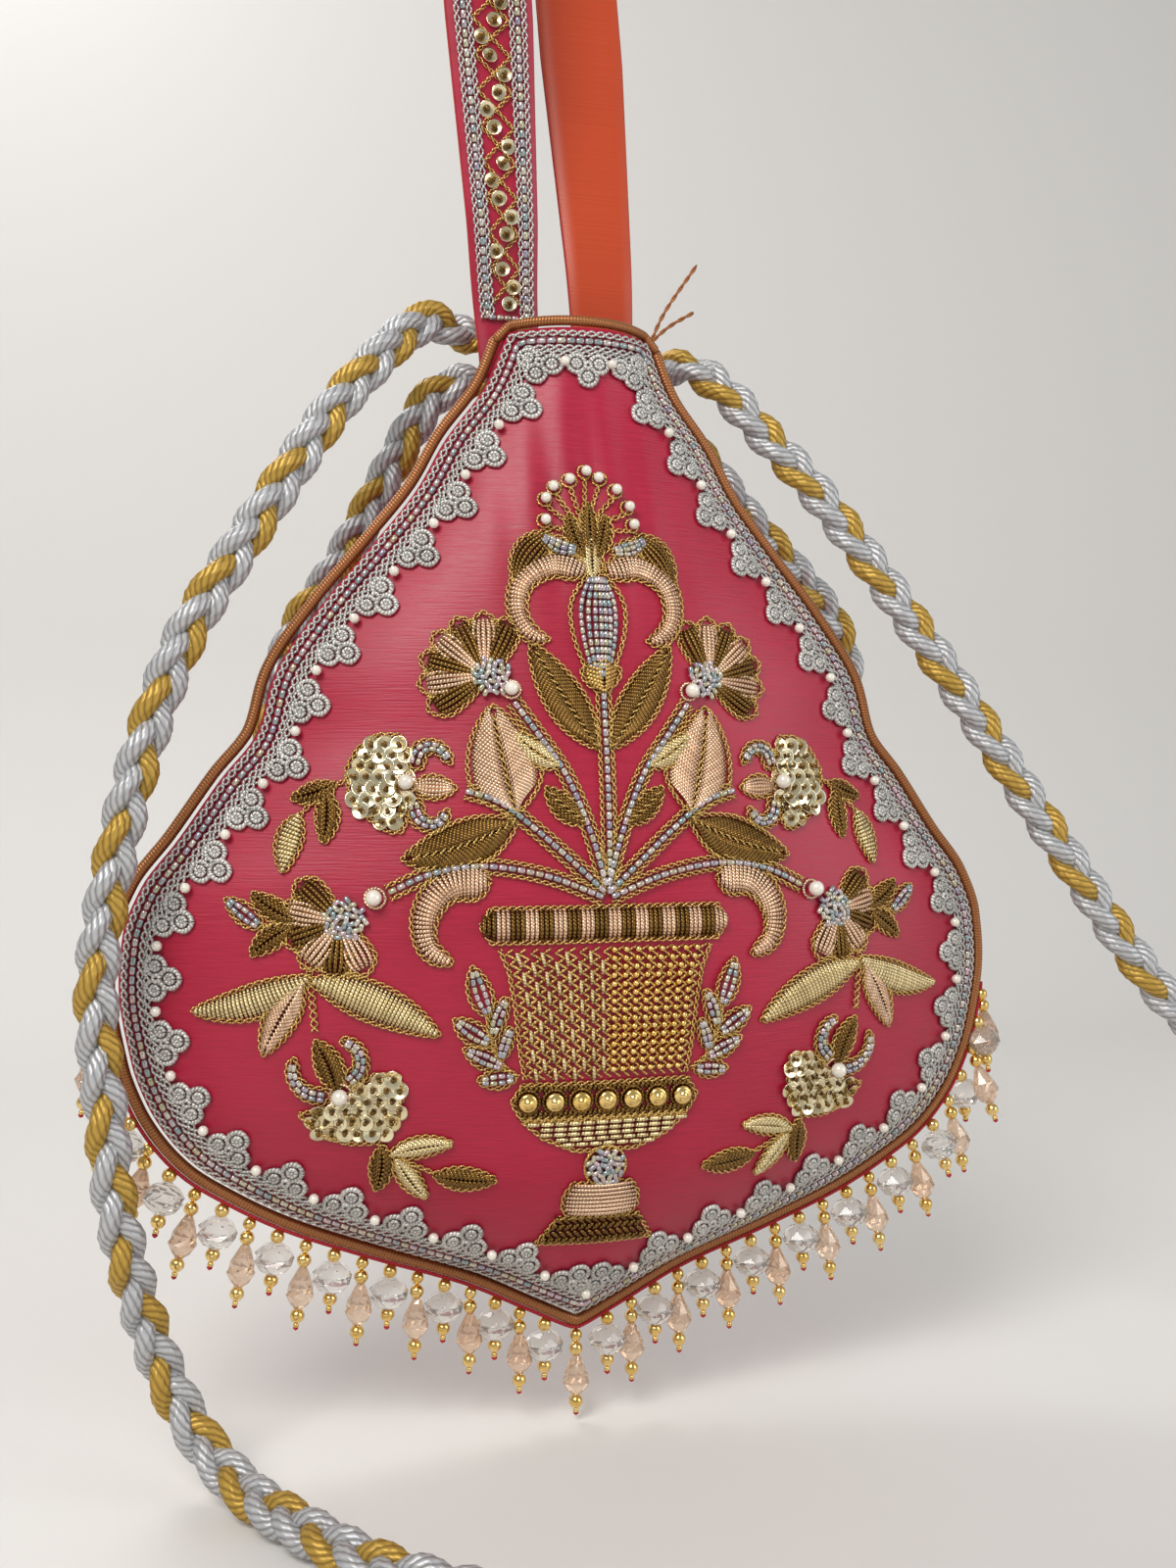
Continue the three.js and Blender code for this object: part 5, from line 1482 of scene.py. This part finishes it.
knots = [strand_beads(*short, 14.6, ball(0.75, 4), 6), strand_beads(*long, 20.5, ball(0.7, 4), 6)]
under_fringe = np.abs(EDGE_RUN - EDGE_RUN[-1] / 2) < THREAD_REACH
thread_line = in_seam_plane(resampled(edge_line(THREAD_OUT)[2][under_fringe], step=2.0))
build("crystal_fringe", [
    (clear, [strand_beads(*short, 3.4, rondelle, 8, half_a_side)], False),
    (champagne, [strand_beads(*long, 6.8, tear, 8, half_a_side)], False),
    (gold_bead, gold_parts),
    (red_thread, [*knots, tube(thread_line, 0.5, 5)]),
], ["bead_fringe"], "crystal")

# %% [markdown]
# The strap is two plies sewn back to back, crimson silk outside and orange satin inside. It
# rises from behind the mouth, bends over and comes down again. A flat strip could be bent along
# a curve with a modifier, but all its trim has to bend with it. So one function turns a length
# along the strap, a share across it and a height over its middle into a point, and both plies
# and every bead use it.

# %% Strap
STRAP_FOOT, STRAP_TOP = 15.5, 21.5
RISE, BEND, BEND_Y = 110.0, 13.0, 4.0
STRAP_PLY, STRAP_PART, STITCH = 0.8, 0.15, 0.75
LEG_STATIONS, BEND_STATIONS = 44, 14


def smoothstep(x, low, high):
    """0 below low, 1 above high, and 3s^2 - 2s^3 between."""
    s = np.clip((x - low) / (high - low), 0, 1)
    return s * s * (3 - 2 * s)


def strap_leg(z, foot, head, y1, way):
    """A leg leans from its foot to its head, and leaves the panel it is sewn to above the mouth."""
    f = z / RISE
    x = foot + (head - foot) * f
    width = STRAP_FOOT + (STRAP_TOP - STRAP_FOOT) * np.clip(z / 75, 0, 1)
    nearest = np.maximum(np.abs(x) - width / 2, 0)
    panel = depth(nearest, np.minimum(z, -5.4), MOUTH_BACK) + SEAM + CLOTH
    sewn = panel + STRAP_PLY + STRAP_PART + STITCH
    free = 6 + (y1 - 6) * np.maximum(f, 0)
    y = sewn + (free - sewn) * smoothstep(z, 2, 30)
    normal = np.stack([0 * z, way + 0 * z, 0 * z], -1)
    return np.stack([x, y, z], -1), normal, width


def strap_line():
    """Left leg up, half a turn over, right leg down."""
    z = np.concatenate([np.linspace(-9, 30, 24), np.linspace(34, RISE, LEG_STATIONS - 24)])
    share = np.linspace(0, 1, BEND_STATIONS + 2)[1:-1]
    a = np.pi * (1 - share)
    n = np.stack([0 * a, np.cos(a), np.sin(a)], -1)
    over = np.array([0, BEND_Y, RISE]) + BEND * n
    over[:, 0] = -26 + 29 * share
    left = strap_leg(z, -15.4, -26, BEND_Y - BEND, -1)
    bend = (over, n, np.full(BEND_STATIONS, STRAP_TOP))
    right = strap_leg(z[::-1], 9.2, 3, BEND_Y + BEND, 1)
    return [np.concatenate(parts) for parts in zip(left, bend, right)]


STRAP_C, STRAP_N, STRAP_W = strap_line()
STRAP_RUN = run_along(STRAP_C)


def on_strap(run, u, h):
    """Point = middle line at this length + height * normal + share * half the width across."""
    run, u, h = (v.astype(float) for v in np.broadcast_arrays(run, u, h))

    def pick(values):
        return np.stack([np.interp(run, STRAP_RUN, values[:, i]) for i in range(3)], -1)
    normal = unit(pick(STRAP_N))
    centre = pick(STRAP_C) + normal * h[..., None]
    centre[..., 0] += u * np.interp(run, STRAP_RUN, STRAP_W) / 2
    return centre, normal


def ply(name, low, high, finish, node, slot):
    """A rounded flat section carried along the strap."""
    run = np.linspace(0, STRAP_RUN[-1], 150)[:, None]
    u = np.array([-0.97, -1, -0.97, -0.6, -0.2, 0.2, 0.6,
                  0.97, 1, 0.97, 0.6, 0.2, -0.2, -0.6])[None]
    mid, thick = (low + high) / 2, (high - low) / 2
    h = mid + thick * np.array([-0.8, 0, 0.8, 1, 1, 1, 1, 0.8, 0, -0.8, -1, -1, -1, -1])[None]
    rings, _ = on_strap(run, u, h)
    body = sleeve(rings[None], 0.5)
    return build(name, [(finish, [body])], [node], slot)


ply("strap_silk", 0.15, 0.95, silk, "handle_band", "silk")
ply("strap_satin", -0.95, -0.15, satin, "handle_lining", "satin")

# %% [markdown]
# The strap's outer face is trimmed with two rows of opal beads, each between silver chains, and
# closed by a short row at each foot. Inside them, fine gold chain crosses to and fro in a
# lattice, with a cupped sequin in every opening. The stitches are those of the front panel. A
# second set is written here for the strap's own surface, where all of them follow its bend.

# %% Strap trim
FACE = 1.0
TRIM_FROM = float(np.interp(5.2, STRAP_C[:LEG_STATIONS, 2], STRAP_RUN[:LEG_STATIONS]))
TRIM_TO = STRAP_RUN[-1] - TRIM_FROM
BUGLE, BUGLE_RADIUS, BUGLE_PITCH = 1.85, 0.72, 2.15


def strap_beads(run, u):
    """Beads along short lines of the strap's face, given as lengths and shares across."""
    run, u = np.broadcast_arrays(run, u)
    centre, normal = on_strap(run, u, FACE + 0.5)
    size = np.broadcast_to(BUGLE_RADIUS * BEAD_GIRTHS, run.shape)
    return sleeve(rings_round(centre, np.gradient(centre, axis=1), normal, size, 6))


def strap_chain(run, u, width=1.1, pitch=2.3, radius=0.27, h=0.35):
    """Two strands that cross, as on the silk, along a line of the strap's face."""
    steps_along = int(abs(np.ptp(run)) / pitch * 6)
    steps_across = int(np.abs(np.diff(u)).sum() * 8 / pitch * 6)
    share = np.linspace(0, 1, steps_along + steps_across + 2)
    stop = np.linspace(0, 1, len(run))
    run, u = np.interp(share, stop, run), np.interp(share, stop, u)
    centre, normal = on_strap(run, u, FACE)
    phase = np.pi * run_along(centre) / pitch
    heading = unit(np.gradient(centre, axis=0))
    across = np.cross(normal, heading)
    batches = []
    for way in (1, -1):
        path = centre + way * across * (width / 2 * np.cos(phase))[:, None]
        path = path + normal * (h + 0.26 * way * np.sin(phase) + radius)[:, None]
        rings = rings_round(path[None], np.gradient(path, axis=0)[None], normal[None], radius, 4)
        batches.append(sleeve(rings, 0.5))
    return batches


def strap_bead_row(u):
    """Bugle beads end to end along the strap at one share across it."""
    middle = np.arange(TRIM_FROM + BUGLE_PITCH / 2, TRIM_TO, BUGLE_PITCH)
    return strap_beads(middle[:, None] + BUGLE * BEAD_STATIONS[None], u)


def strap_bead_bar(run):
    """A short row of beads across the strap."""
    return strap_beads(run, np.linspace(-0.48, 0.48, 5)[:, None] + 0.2 * BEAD_STATIONS[None])


def to_and_fro(count, share):
    """Plus and minus a share, in turn."""
    return np.where(np.arange(count) % 2 == 0, share, -share)


rows = [strap_bead_row(u) for u in (-0.62, 0.62)]
rows += [strap_bead_bar(run) for run in (TRIM_FROM + 0.5, TRIM_TO - 0.5)]
side_chains = []
for u in (-0.77, -0.48, 0.48, 0.77):
    side_chains += strap_chain(np.array([TRIM_FROM, TRIM_TO]), np.array([u, u]))
build("strap_bead_rows", [(opal, rows), (silver, side_chains)], ["handle_bead_rows"], "pearl_beads")

CELL = 8.2
cells = int(round((TRIM_TO - TRIM_FROM - 8) / CELL))
knots_at = np.linspace(TRIM_FROM + 4, TRIM_TO - 4, cells + 1)
zig = to_and_fro(cells + 1, 0.42)
lattice = []
for way in (1, -1):
    for i in range(cells):
        lattice += strap_chain(knots_at[i:i + 2], way * zig[i:i + 2], 0.7, 1.8, 0.2, 0.15)
spots, axes = on_strap(knots_at, to_and_fro(cells + 1, 0.08), FACE + 0.3)
between = (knots_at[1:] + knots_at[:-1]) / 2
more, more_axes = on_strap(between, to_and_fro(cells, 0.24), FACE + 0.3)
sequin_places = np.concatenate([spots, more])
sequin_axes = np.concatenate([axes, more_axes])
small_cup = [(s, r * 0.92) for s, r in CUP]
tipped = unit(sequin_axes + 0.16 * chance.normal(size=sequin_axes.shape))
build("strap_lattice", [
    (gold, lattice),
    (sequin, [turned(sequin_places, tipped, small_cup, 12, out=(0.3, 0.1, 1))]),
    (bronze, [turned(sequin_places + 0.2 * sequin_axes, tipped, ball(0.75, 5), 7,
                     out=(0.3, 0.1, 1))]),
], ["handle_lattice"], "gold_thread")

# %% [markdown]
# The plait's ends are sewn into two small folded tabs of silk behind the corners of the mouth.
# A cube with a Bevel modifier would come close, but would look hard. So each is a flat cushion
# of rings: a superellipse, |cos| and |sin| raised to a power, that shrinks at both ends.

# %% Cord tabs
def squared_off(v):
    """sign(v) * |v| ** 0.42, which pushes a circle out towards a square."""
    return np.sign(v) * np.abs(v) ** 0.42


TAB_HALF = 2.25


def tab(name, x, low, high, node):
    """Rings go up the tab; each is a square with rounded corners that swells in the middle."""
    z = np.linspace(low, high, 14)
    share = np.linspace(-1, 1, 14)
    size = (1 - np.abs(share) ** 8 * 0.35)[:, None]
    a = 2 * np.pi * (np.arange(20) + 0.5) / 20
    inward = -np.sign(x) * TAB_HALF
    crease = 1 - 0.07 * np.abs(np.sin(3 * a))[None]
    ring_x = x + inward + TAB_HALF * size * squared_off(np.cos(a))[None] * crease
    ring_y = CORD_Y + 5.0 * size * squared_off(np.sin(a))[None] * crease
    rings = np.stack([ring_x, ring_y, np.broadcast_to(z[:, None], ring_x.shape)], -1)
    return build(name, [(silk, [sleeve(rings[None], 0.5)])], [node], "silk")


tab("silk_tab_left", -18.5, -13.5, 8.4, "cord_tab_left")
tab("silk_tab_right", 19.0, -20.0, 2.4, "cord_tab_right")

# %% [markdown]
# Two ends of the copper piping thread are left free at the right corner of the mouth. One tube
# for each would do from afar. Each is made of two strands that wind round its line, because the
# ends stand alone against the background, where their edges show.

# %% Thread ends
KNOT = [19.4, 0, 0.7]
ENDS = [[[22.4, -1, 7.6], [30.5, -3, 20]], [[24, -0.5, 4.8], [30, -2, 8.4]]]
twisted = []
for points in ENDS:
    line = smooth_route([KNOT, *points], 0.8)
    along, out = carried_frame(line, (0, -1, 0.1))
    beside = np.cross(along, out)
    for start in (0, np.pi):
        phase = (np.arange(len(line)) * 0.9 + start)[:, None]
        offset = 0.26 * (np.cos(phase) * out + np.sin(phase) * beside)
        twisted.append(tube(line + offset, 0.3, 5, out=(0.2, -1, 0.1)))
build("loose_thread_ends", [(wrap, twisted)], ["thread_ends"], "piping")
